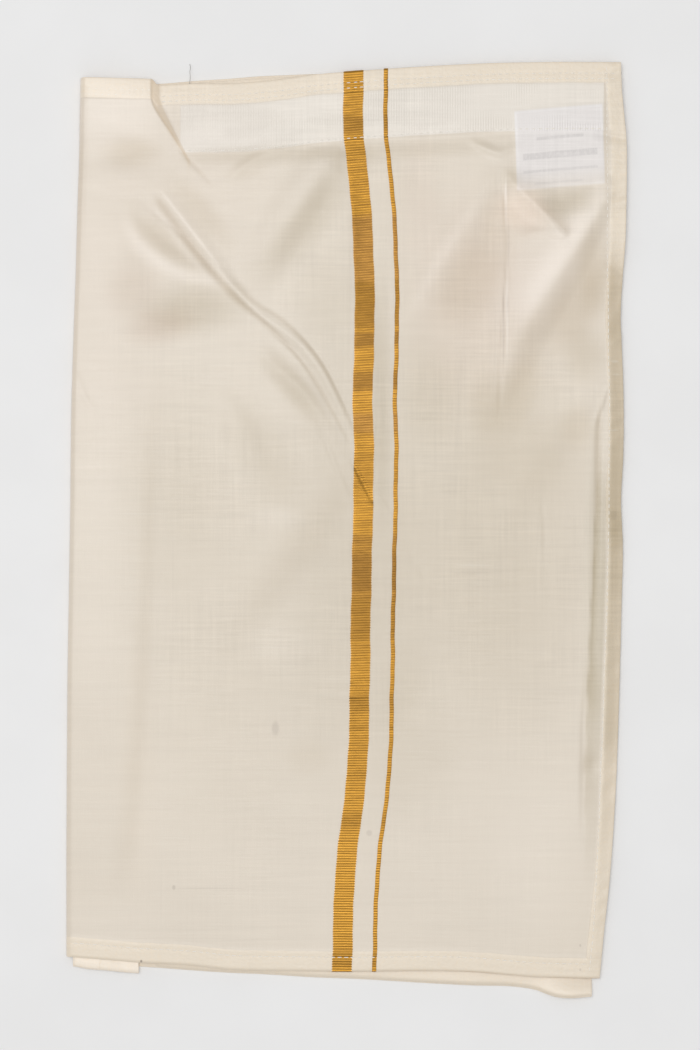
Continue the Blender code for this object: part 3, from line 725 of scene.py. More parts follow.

# Longer strokes of painted shade and painted highlight, along paths: here a knot's amount is its shade.
SHADE_STROKES = (
    crease(0, (38.5, 150, 6, 5, 0), (37.5, 200, 6, 5, 0.045), (36, 260, 7, 5, 0.06), (32, 320, 9, 6, 0.05),
           (27, 360, 10, 8, 0.04), (22, 384, 8, 8, 0)),
    crease(0, (130, 190, 12, 12, 0.03), (100, 228, 13, 13, 0.05), (70, 272, 13, 13, 0)),
    crease(0, (243, 61, 9, 5, -0.14), (230, 82, 13, 6, -0.17), (210, 112, 12, 5, -0.12),
           (196, 140, 9, 4, 0)),
    crease(0.4, (212, 62.5, 1.2, 5, 0), (220, 69.5, 1.2, 6, 0.07), (227, 77, 1, 5, 0.12),
           (228.8, 80, 1, 2, 0)),
    crease(0, (194, 56, 4, 3, 0), (174, 84, 6, 5, -0.06), (152, 122, 6, 5, 0)),
    crease(0, (244, 146, 2, 2, 0), (242, 166, 2, 2.4, 0.12), (241.6, 190, 2, 2.4, 0.2),
           (241, 215, 2.4, 2.4, 0.12),
           (240, 250, 3, 2.4, 0.06), (239, 310, 3, 3, 0)),
    crease(0, (236.4, 304, 3, 6, 0.0), (235.8, 320, 3, 6, 0.08), (235.8, 346, 3, 6, 0.0)),
    crease(0, (26, 62, 5, 4, 0), (31, 79, 6, 4, -0.08), (41, 89.5, 7, 5, -0.11), (52, 96, 5, 5, -0.09),
           (64, 99.5, 4, 4, -0.07), (76, 104.5, 3, 3, 0)),
    crease(0, (34, 64, 2.5, 2, 0), (49, 75, 2.5, 2, -0.06), (64, 91, 2.5, 2, 0)),
    crease(0.3, (42, 57.5, 1, 1.4, 0), (47, 63.5, 1, 1.4, -0.12), (60.5, 81, 1, 1.4, -0.12),
           (72, 95.5, 1, 1.4, 0)),
    crease(0, (36, 60, 3, 2.4, 0), (52, 83, 3, 2.4, -0.06), (68, 102, 3, 2, 0)),
    crease(0, (118, 42, 7, 5, 0), (107, 60, 7, 5, -0.05), (92, 80, 7, 5, -0.05), (84, 94, 5, 5, 0)),
    crease(0, (96, 134, 3, 2, 0), (111, 146, 3, 2, -0.06), (124, 168, 3, 2, -0.04), (128, 180, 3, 2, 0)),
    crease(0, (40, 60, 2.8, 2.2, 0), (44, 65.5, 3.4, 2.6, 0.17), (57.5, 84, 3.8, 2.8, 0.22),
           (76, 106, 3.2, 2.6, 0.2),
           (89, 117.5, 2.4, 2.2, 0.15), (101, 129, 1.8, 1.8, 0.13), (114, 146, 1.6, 1.6, 0.13),
           (128, 172, 1.4, 1.4, 0.05)),
    crease(0, (74, 97, 2, 2, 0), (84, 108, 2, 2, 0.1), (98, 117, 1.8, 1.8, 0.12),
           (110, 129, 1.6, 1.6, 0.13),
           (119, 142, 1.5, 1.5, 0.13), (130, 165, 1.4, 1.4, 0.05)),
    crease(0.1, (52, 41, 1.6, 1.6, 0.1), (60, 49, 1.6, 1.6, 0.10), (68, 58, 1.6, 1.6, 0)),
    crease(0, (9.5, 12, 1.8, 1.6, 0.05), (8.4, 60, 1.8, 1.6, 0.06), (7, 112, 1.8, 1.6, 0)),
)


def painted_tones(across, drop):
    """The cloth's painted shade and painted sheen, and how warm and rosy they are."""
    shade, warm, rosy = (np.zeros_like(across) for _ in range(3))
    for patch in SHADE_AND_SHEEN_PATCHES:
        x = across - patch.across
        y = drop - patch.drop
        lean = math.radians(patch.lean)
        u = (x * math.cos(lean) + y * math.sin(lean)) / patch.half_across
        v = (y * math.cos(lean) - x * math.sin(lean)) / patch.half_drop
        amount = smooth_step((1.3 - np.hypot(u, v)) / 1.1)
        shade += patch.shade * amount
        warm += patch.warm * amount
        rosy += patch.rosy * amount
    # painted shade and painted highlights along the strokes; the shaded parts are also tinted rosy
    for stroke in SHADE_STROKES:
        amount = ridge(across, drop, stroke)
        shade += amount
        rosy += np.maximum(amount, 0) * 1.5
    # painted shade, warm brown, on the tuck's slope, which turns from the light
    share = tuck_share(across, drop)
    in_tuck = smooth_step(np.minimum(share * 6, (1 - share) * 9)) * smooth_step((TUCK_END + 2 - drop) / 10)
    in_tuck = in_tuck * (share > 0) * (share < 1)
    shade += 0.055 * in_tuck
    warm += 0.8 * in_tuck
    # a painted shade line along the tuck's fold edge
    rim = np.exp(-(((across - near_at(drop) - 0.2) / 0.8) ** 2)) * smooth_step((TUCK_END + 6 - drop) / 14)
    shade += 0.05 * rim
    warm += 0.5 * rim
    # painted shade in the hollow inside the side hem's stitches, darkest at its left line
    hollow_shade = edge_of(across - curve(HOLLOW_SHADE, "left", drop) - 0.25 * np.sin(drop * 0.35), 1.3)
    hollow_shade *= edge_of(stitch_at(drop) - 0.9 - across, 1.4)
    inner = (across - curve(HOLLOW_SHADE, "left", drop)) / 7
    shade += line(HOLLOW_SHADE, "shade", drop) * hollow_shade * (1.25 - 0.45 * np.clip(inner, 0, 1))
    # painted shade on the drooping strip outside the side hem's stitches, a little warmer
    from_side = edge_at(drop) - across
    strip = edge_of(SIDE_HEM - 0.6 - from_side, 3.0) * smooth_step((drop - 78) / 30)
    strip *= smooth_step((365 - drop) / 30)
    uneven = 0.9 + 0.1 * np.sin(drop * 0.16 + 2 * np.sin(drop * 0.057))
    shade += line(SIDE_SHADE, "shade", drop) * strip * uneven
    warm += 0.25 * strip
    return shade, warm, rosy


# ------------------------------------------------------------------ woven bands
def band_piece(name, offset, width, spans):
    """A woven band on the front ply, with its ribs, turned over both hems with the cloth."""
    step = RIB / 4
    rows = np.arange(-4.0, NOMINAL + 4.0 + step / 2, step)
    places = np.linspace(-width / 2, width / 2, spans + 1)

    def across_at(drop):
        sway = 0.12 * np.sin(drop * 0.19) + 0.07 * np.sin(drop * 0.47 + 1)
        return band_at(drop) + offset + sway + places[None, :]

    across, drop, depth = lay(across_at, rows)
    length = np.broadcast_to(rows[:, None], across.shape)
    edge = 1 - np.abs(places) / (width / 2)
    rib = 0.5 + 0.5 * np.cos(2 * np.pi * length / RIB)
    lift = BAND_LIFT + RIB_RISE * rib * smooth_step(edge * 5 + 0.3)[None, :]
    height = front_face(across, drop, length)
    outward = np.cos(np.clip(depth / TURN, 0, 2) * math.pi / 2)
    beyond = np.sin(np.clip(depth / TURN, 0, 2) * math.pi / 2)
    toward = np.where(length < NOMINAL / 2, -1.0, 1.0)
    points = place(across, drop + toward * beyond * lift, height - depth + outward * lift)
    return grid_piece(name, points, {
        "cloth": vectors(across, drop, 0.0),
        "band": vectors(places[None, :] + np.zeros_like(across), length, edge[None, :]),
    })


# ------------------------------------------------------------------ the hidden plies
REAR_INSET = 3.5
REAR_TURN = 0.85
INNER_SHORT = 0.5
INNER_SHARE = 0.50  # height of the inner ply as a share of the front ply's
REAR_END = 10.0
CURL = 2.6  # height of the curled corner at the foot
# painted light: shades below 0 make the hidden plies' shown strips paler, against the shade under the front
# ply
REAR_SHADE = -0.06
RETURN_SHADE = -0.19
NO_EDGE = 99.0  # a distance that is never near an edge
NO_LABEL = -9.0  # a place that is never in the label


def hidden_piece(name, across, drop, height, attributes):
    """A hidden ply. Its columns run backwards, so that its outer face points out."""
    attributes["label"] = vectors(NO_LABEL + 0 * across, NO_LABEL, 0.0)
    turned = {key: values[:, ::-1] for key, values in attributes.items()}
    return grid_piece(name, place(across, drop, height)[:, ::-1], turned)


def rear_plies():
    """The rear cloth: flat on the surface, round its right-hand fold and back over itself."""
    flat = np.linspace(0, 1, 60)
    fold = np.linspace(math.pi, 0, 11)[1:-1]
    share = np.concatenate([flat, np.ones(len(fold)), flat[::-1]])
    angle = np.concatenate([np.full(len(flat), math.pi), fold, np.zeros(len(flat))])
    inner = (1 + np.cos(angle)) / 2
    rows = hemmed_rows(
        0.3, (QUARTER, CORNER_ROWS, 1.5), (CORNER_ROWS, NOMINAL - CORNER_ROWS, 4.0),
        (NOMINAL - CORNER_ROWS, NOMINAL - QUARTER, 1.5),
    )

    def across_at(drop):
        start = fold_at(drop) + FOLD_REACH + UNDER_FOLD + 0.4 + (REAR_END - UNDER_FOLD) * inner
        stop = edge_at(drop) - REAR_INSET - REAR_TURN * 1.3
        return start + (stop - start) * share

    def ends_at(across):
        waist = curve(ENDS, "rear_waist", across) + inner * 1.2
        foot = curve(ENDS, "rear_foot", across) - INNER_SHORT * inner
        return waist, foot

    across, drop, depth = lay(across_at, rows, ends_at, 5)
    from_foot, _ = turn_under(NOMINAL - rows[:, None])
    high = front_level(drop) * INNER_SHARE
    high = high + 0.08 * np.sin(across * 0.11 + 1) + 0.06 * np.sin(drop * 0.07 + across * 0.03)
    high = high - 0.5 * smooth_step((across - 225) / 15)
    # layers close up towards their foot, where the front ply leaves them open to view
    high = high - 0.2 * smooth_step((drop - 398) / 10)
    # pressed down where the return ply's two hems lie on each other
    high = high - 0.5 * smooth_step((46 - across) / 8) * smooth_step((drop - 392) / 8)
    centre = (high + FLOOR_GAP) / 2
    half = (high - FLOOR_GAP) / 2
    height = centre + half * np.cos(angle) - depth * np.cos(angle)
    bulge = np.sin(angle) * (REAR_TURN * 1.3 - depth)
    ripple = 0.06 * np.sin(across * 0.9 + np.sin(across * 0.23) * 2) * (np.abs(from_foot - 5) < 9)
    curl = CURL * smooth_step((across - 210) / 18) * smooth_step((drop - 415) / 10)
    height = np.maximum(height + ripple * inner, 0.08) + curl
    length = np.broadcast_to(rows[:, None], across.shape)
    return hidden_piece("rear_cloth", across + bulge, drop, height, {
        "cloth": vectors(across, drop, NO_EDGE),
        "edges": vectors(length, NOMINAL - length, -NO_EDGE),
        "tone": vectors(REAR_SHADE + 0 * across, 0.1, 0.0),
    })


def return_ply():
    """The other end of the cloth: round an inner fold at the left and back under the front."""
    side = spread(-SIDE_HEM, -QUARTER, 1.6) + spread(-QUARTER, QUARTER, 0.22)
    side += spread(QUARTER, 7, 1.0)
    side_in, side_depth = turn_under(np.array(side))
    middle = np.linspace(RETURN_WIDTH - side_in[-1], 4.0, 26)[1:]
    fold = np.linspace(0, math.pi, 9)[1:]
    below = np.linspace(4.0, 15.0, 8)[1:]
    offset = np.concatenate([RETURN_WIDTH - side_in, middle, np.full(len(fold), 4.0), below])
    angle = np.concatenate([np.zeros(len(side) + len(middle)), fold, np.full(len(below), math.pi)])
    side_depth = np.concatenate([side_depth, np.zeros(len(offset) - len(side))])
    rows = hemmed_rows(
        0.3, (QUARTER, CORNER_ROWS, 1.5), (CORNER_ROWS, NOMINAL - CORNER_ROWS, 4.0),
        (NOMINAL - CORNER_ROWS, NOMINAL - QUARTER, 1.2),
    )

    def across_at(drop):
        return fold_at(drop) + offset

    def ends_at(across):
        foot = foot_at(across) + RETURN_SHOWS
        foot = foot - 0.9 * smooth_step((10 - offset) / 8) - 0.5 * (angle > 2)
        return 10.8 + 0 * across, foot

    across, drop, depth = lay(across_at, rows, ends_at, 5)
    front = front_level(drop) + RETURN_LIFT
    high = front - 1.3 - 0.3 * smooth_step((drop - 404) / 9)
    # the corner with two hems is thicker, and lifts the ply above it
    high = high + 0.45 * smooth_step((offset - 18) / 8) * smooth_step((drop - 392) / 10)
    low = front * 0.52
    centre = (high + low) / 2
    half = (high - low) / 2
    height = centre + half * np.cos(angle) - (depth + side_depth) * np.cos(angle)
    height += 0.10 * np.sin(across * 0.55 + 0.4) * smooth_step((drop - 398) / 10)
    bulge = -np.sin(angle) * (1.0 - depth * 0.5)
    length = np.broadcast_to(rows[:, None], across.shape)
    return hidden_piece("return_cloth", across + bulge, drop, height, {
        "cloth": vectors(across + 300, drop, RETURN_WIDTH - offset),
        "edges": vectors(length, NOMINAL - length, offset - RETURN_WIDTH + SIDE_HEM),
        "tone": vectors(RETURN_SHADE + 0 * across, 0.0, 0.0),
    })


# ------------------------------------------------------------------ tape, label, stitches
def sewn_piece(name, across_at, lengths, depth, thick):
    """A thin closed strip sewn behind the front ply, between two depths under its face."""
    across, drop, _ = lay(across_at, lengths)
    length = np.broadcast_to(np.asarray(lengths)[:, None], across.shape)
    top = front_height(across, drop) - depth(length)
    outer = place(across, drop, top)
    inner = place(across, drop, top - thick)
    return slab(name, outer, inner, {"cloth": vectors(across, length, 0.0)})


def waist_tape():
    shares = np.linspace(0, 1, 180)[None, :]

    def line_at(drop):
        start = TAPE_START + 0 * drop[:, :1]
        stop = stitch_at(drop[:, :1]) - 1.4
        return start + (stop - start) * shares

    lengths = np.linspace(TAPE_TOP + 0.2, TAPE_FOOT - 0.2, 20)
    return sewn_piece("waist_tape_strip", line_at, lengths, lambda length: 0.7 + 0 * length, 0.35)


def care_label():
    shares = np.linspace(0, LABEL_WIDE, 36)[None, :]

    def line_at(drop):
        return stitch_at(drop[:, :1]) - LABEL_TO_STITCH + shares

    def depth(length):
        return 0.75 + 0.65 * smooth_step((TAPE_FOOT + 3 - length) / 3)

    lengths = np.linspace(LABEL_TOP - 1.5, LABEL_TOP - 1.5 + LABEL_TALL, 34)
    return sewn_piece("care_label_satin", line_at, lengths, depth, 0.2)


STITCH_SIDES = 6
STITCH_RINGS = 7
LEFT_STITCH_SUNK = 0.17  # left of the tuck the thread is pulled into the cloth
ROWS_END = 245.0  # where the side hem's stitches stand, for the rows that run up to them


def thread_shape():
    """One stitch: a short arched thread whose ends dip into the cloth. Its points and faces."""
    points = []
    for ring in range(STITCH_RINGS):
        t = -1 + 2 * ring / (STITCH_RINGS - 1)
        radius = STITCH_THICK * math.sqrt(max(1 - t**4, 0.02))
        for side in range(STITCH_SIDES):
            turn = 2 * math.pi * side / STITCH_SIDES
            arch = STITCH_THICK * (0.55 - 1.4 * t * t)
            up = 0.6 * radius * math.sin(turn) + arch
            points.append((t * STITCH_LONG / 2, radius * math.cos(turn), up))
    faces = []
    for ring in range(STITCH_RINGS - 1):
        for side in range(STITCH_SIDES):
            after = (side + 1) % STITCH_SIDES
            here, ahead = ring * STITCH_SIDES, (ring + 1) * STITCH_SIDES
            faces.append((here + side, ahead + side, ahead + after, here + after))
    return np.array(points), faces


def row_of_stitches(start, stop, path):
    """Middles and directions of a row of stitches. path gives points in mm at lengths along it."""
    middles = np.arange(start + STITCH_PITCH / 2, stop, STITCH_PITCH)
    rng = np.random.default_rng(int(start * 10 + stop * 7) % 9973)
    middles = middles + rng.uniform(-0.15, 0.15, len(middles))
    here = path(middles)
    ahead = path(middles + 0.8)
    back = path(middles - 0.8)
    way = ahead - back
    way /= np.linalg.norm(way, axis=1)[:, None]
    return here, way


def over_band(across, drop):
    """The extra height of the bands, for the stitches that cross them."""
    from_wide = np.abs(across - band_at(drop)) - BAND_WIDE / 2
    from_narrow = np.abs(across - band_at(drop) - BAND_PITCH) - BAND_NARROW / 2
    return 0.16 * edge_of(-np.minimum(from_wide, from_narrow), 1.5)


def across_path(length, sunk=0.0):
    """A path along the waist or foot, at a nominal distance from the waist edge."""

    def path(across):
        x, drop, _ = lay(lambda drop: np.asarray(across)[None, :] + 0 * drop, [length])
        height = front_face(x, drop, np.full_like(x, length)) + over_band(x, drop) - sunk
        return np.stack([x[0], drop[0], height[0]], axis=1)

    return path


def down_path(line_at, wander):
    """A path down the cloth, along a line of across at each drop."""

    def path(lengths):
        lengths = np.asarray(lengths, float)
        x, drop, _ = lay(lambda drop: line_at(drop) + wander * np.sin(drop * 0.13), lengths)
        height = front_face(x, drop, lengths[:, None])
        return np.stack([x[:, 0], drop[:, 0], height[:, 0]], axis=1)

    return path


def stitches():
    tuck_gap = (TUCK[0].near - 0.6, TUCK[0].far + 0.6)
    rows = []
    for length in WAIST_STITCHES:
        rows.append((9.5, tuck_gap[0], across_path(length, LEFT_STITCH_SUNK)))
        rows.append((tuck_gap[1], ROWS_END + 5.5, across_path(length)))
    rows.append((TAPE_START + 3, ROWS_END - 1, across_path(TAPE_FOOT - 0.9)))
    rows.append((2.8, ROWS_END - 8, across_path(NOMINAL - FOOT_STITCH)))
    rows.append((2.0, NOMINAL - 2, down_path(stitch_at, 0.12)))
    shape, shape_faces = thread_shape()
    points, faces = [], []
    for start, stop, path in rows:
        for here, way in zip(*row_of_stitches(start, stop, path)):
            aside = np.cross(way, (0, 0, 1.0))
            aside /= np.linalg.norm(aside)
            up = np.cross(aside, way)
            if up[2] < 0:
                up = -up
            local = here + shape[:, :1] * way + shape[:, 1:2] * aside + shape[:, 2:] * up
            base = len(points) * len(shape)
            points.append(local)
            faces.extend(tuple(base + k for k in face) for face in shape_faces)
    every = np.concatenate(points)
    return piece("stitches", place(every[:, 0], every[:, 1], every[:, 2]), faces)


def loose_thread():
    """The loose end of sewing thread that sticks out past the waist edge."""
    knots = (
        (56.2, 10.2, 4.9), (56.4, 8.6, 4.9), (56.5, 6.5, 4.4),
        (56.3, 4.4, 3.8), (56.5, 2.2, 3.2), (56.2, 0.6, 2.6),
    )
    curve_data = bpy.data.curves.new("loose_thread", "CURVE")
    curve_data.dimensions = "3D"
    curve_data.bevel_depth = 0.12 * MM
    curve_data.bevel_resolution = 2
    curve_data.use_fill_caps = True
    spline = curve_data.splines.new("BEZIER")
    spline.bezier_points.add(len(knots) - 1)
    for point, knot in zip(spline.bezier_points, knots):
        point.co = Vector(place(*[np.array(v, float) for v in knot]))
        point.handle_left_type = point.handle_right_type = "AUTO"
    item = bpy.data.objects.new("loose_thread", curve_data)
    bpy.context.scene.collection.objects.link(item)
    return item


# ------------------------------------------------------------------ materials
class Tree:
    """Short ways to add nodes to a material."""

    def __init__(self, name):
        self.material = bpy.data.materials.new(name)
        self.material.use_nodes = True
        self.nodes = self.material.node_tree.nodes
        self.links = self.material.node_tree.links
        self.shader = self.nodes["Principled BSDF"]

    def join(self, value, socket):
        if hasattr(value, "is_linked") or hasattr(value, "links"):
            self.links.new(value, socket)
        else:
            socket.default_value = value

    def math(self, kind, *values):
        node = self.nodes.new("ShaderNodeMath")
        node.operation = kind
        for value, socket in zip(values, node.inputs):
            self.join(value, socket)
        return node.outputs[0]

    def total(self, *values):
        result = values[0]
        for value in values[1:]:
            result = self.math("ADD", result, value)
        return result

    def product(self, *values):
        result = values[0]
        for value in values[1:]:
            result = self.math("MULTIPLY", result, value)
        return result

    def mix(self, share, first, second, kind="MIX"):
        node = self.nodes.new("ShaderNodeMix")
        node.data_type = "RGBA"
        node.blend_type = kind
        self.join(share, node.inputs[0])
        self.join(first, node.inputs[6])
        self.join(second, node.inputs[7])
        return node.outputs[2]

    def attribute(self, name):
        node = self.nodes.new("ShaderNodeAttribute")
        node.attribute_name = name
        split = self.nodes.new("ShaderNodeSeparateXYZ")
        self.links.new(node.outputs["Vector"], split.inputs[0])
        return split.outputs

    def place_in_mm(self):
        """The x and y of the object's own place, in millimetres."""
        where = self.nodes.new("ShaderNodeTexCoord")
        split = self.nodes.new("ShaderNodeSeparateXYZ")
        self.links.new(where.outputs["Object"], split.inputs[0])
        return self.product(split.outputs[0], 1000.0), self.product(split.outputs[1], 1000.0)

    def noise(self, x, y, scale_x, scale_y, detail=2.0, rough=0.5, shift=0.0):
        """Noise from 0 to 1 over two coordinates in millimetres."""
        node = self.nodes.new("ShaderNodeTexNoise")
        join = self.nodes.new("ShaderNodeCombineXYZ")
        self.join(self.math("MULTIPLY_ADD", x, scale_x, shift), join.inputs[0])
        self.join(self.math("MULTIPLY_ADD", y, scale_y, shift * 0.7), join.inputs[1])
        join.inputs[2].default_value = shift * 1.3
        self.links.new(join.outputs[0], node.inputs["Vector"])
        node.inputs["Scale"].default_value = 1.0
        node.inputs["Detail"].default_value = detail
        node.inputs["Roughness"].default_value = rough
        return node.outputs[0]

    def ramp(self, value, low, high, to_low=0.0, to_high=1.0):
        node = self.nodes.new("ShaderNodeMapRange")
        node.interpolation_type = "SMOOTHSTEP"
        for socket, amount in zip(node.inputs, (value, low, high, to_low, to_high)):
            self.join(amount, socket)
        return node.outputs[0]

    def window(self, value, low, high, soft):
        """1 between low and high, 0 outside, with soft ends."""
        rise = self.ramp(value, low - soft / 2, low + soft / 2)
        return self.math("MULTIPLY", rise, self.ramp(value, high - soft / 2, high + soft / 2, 1.0, 0.0))

    def bump(self, height, strength, distance):
        node = self.nodes.new("ShaderNodeBump")
        node.inputs["Strength"].default_value = strength
        node.inputs["Distance"].default_value = distance
        self.links.new(height, node.inputs["Height"])
        return node.outputs[0]

    def wave(self, value, pitch):
        """A wave from 0 to 1 with the given pitch in millimetres."""
        turn = self.math("SINE", self.math("MULTIPLY", value, 2 * math.pi / pitch))
        return self.math("MULTIPLY_ADD", turn, 0.5, 0.5)


# Marks on the cloth: slubs, small stains, and painted highlights and shade along thin creases and
# wrinkles. light is over 0 where paler.
Mark = namedtuple("Mark", "across drop half_across half_drop light")
MARKS = (
    Mark(95.2, 302.8, 2.4, 4.4, -0.20),
    Mark(137.8, 350.4, 1.9, 1.9, -0.18),
    Mark(166.5, 371.8, 1.1, 1.1, -0.06),
    Mark(49.0, 375.2, 1.1, 1.5, -0.25),
    Mark(66.0, 375.6, 22.0, 0.45, -0.13),
    Mark(34.2, 408.6, 0.7, 0.9, -0.7),
    Mark(34.0, 205.3, 16.0, 0.50, 0.14),
    Mark(92.0, 266.0, 14.0, 0.60, 0.10),
    # painted highlight and shade along the ridge at drop 230
    Mark(186.0, 228.7, 11.0, 0.60, 0.2),
    Mark(184.5, 231.9, 12.0, 0.9, -0.06),
    Mark(48.6, 231.0, 0.35, 34.0, -0.05),
    Mark(43.2, 378.0, 0.35, 20.0, -0.04),
    Mark(11.0, 281.6, 9.0, 0.4, 0.05),
    # painted highlights and shade along the thin crease below the label
    Mark(199.9, 64.0, 0.9, 16.0, 0.5),
    Mark(201.2, 82.0, 0.6, 16.0, -0.12),
    Mark(198.8, 120.0, 0.7, 24.0, -0.22),
    Mark(200.4, 116.0, 0.9, 26.0, 0.3),
    Mark(97.3, 7.0, 0.6, 0.6, -0.6),
    Mark(233.8, 401.6, 0.7, 0.9, -0.22),
    Mark(233.8, 412.6, 0.7, 0.9, -0.22),
    Mark(221.0, 246.0, 0.3, 26.0, 0.03),
    # painted highlights on wrinkles across the side hem, and painted shade lower on it
    Mark(249.4, 136.0, 2.6, 0.8, 0.45),
    Mark(250.0, 142.0, 2.6, 0.7, 0.35),
    Mark(249.2, 167.3, 2.8, 0.6, 0.45),
    Mark(249.0, 206.0, 2.4, 3.0, -0.14),
)

CREAM = (0.729, 0.645, 0.534, 1.0)
HEM_SPECK = (0.86, 0.68, 0.46, 1.0)
CREAM_HEM = (0.82, 0.715, 0.572, 1.0)
TAPE_SHOWS = (0.83, 0.775, 0.70, 1.0)
LABEL_SHOWS = (0.79, 0.75, 0.73, 1.0)
WARM = (0.78, 0.62, 0.44, 1.0)
SHADE_LOSS = (1.0, 1.12, 1.45)  # what a shade of 1 takes from the red, green and blue
ROSY_LOSS = (0.0, 0.05, 0.035)
GOLD_BRIGHT = (0.47, 0.235, 0.026, 1.0)
GOLD_DULL = (0.13, 0.058, 0.004, 1.0)
COPPER_BRIGHT = (0.46, 0.235, 0.058, 1.0)
COPPER_DULL = (0.17, 0.078, 0.014, 1.0)


def weave(tree, across, drop):
    """The cloth's fine plain weave and its uneven yarns: a value around 0 and a height."""
    wobble = tree.noise(across, drop, 0.35, 0.35, 2.0, shift=3.1)
    x = tree.math("MULTIPLY_ADD", wobble, 0.9, across)
    y = tree.math("MULTIPLY_ADD", wobble, 0.7, drop)
    threads = tree.product(tree.wave(x, 0.46), tree.wave(y, 0.42))
    weft = tree.noise(across, drop, 0.035, 0.75, 4.0, 0.65, shift=7.7)
    warp = tree.noise(across, drop, 0.70, 0.028, 4.0, 0.65, shift=1.9)
    broad = tree.noise(across, drop, 0.012, 0.30, 2.0, 0.5, shift=5.2)
    patchy = tree.ramp(tree.noise(across, drop, 0.021, 0.026, 2.0, shift=2.6), 0.38, 0.60, 0.25, 1.0)
    streaks = tree.total(
        tree.math("MULTIPLY_ADD", weft, 0.24, -0.12), tree.math("MULTIPLY_ADD", warp, 0.20, -0.10)
    )
    calm = tree.product(tree.ramp(drop, 250.0, 320.0, 1.0, 0.45), tree.ramp(across, 15.0, 80.0, 0.4, 1.0))
    value = tree.total(
        tree.product(streaks, patchy, calm),
        tree.math("MULTIPLY_ADD", broad, 0.06, -0.03),
        tree.math("MULTIPLY_ADD", threads, 0.05, -0.0125),
    )
    height = tree.total(tree.product(threads, 0.5), tree.product(weft, 1.1), tree.product(warp, 0.8))
    return value, height


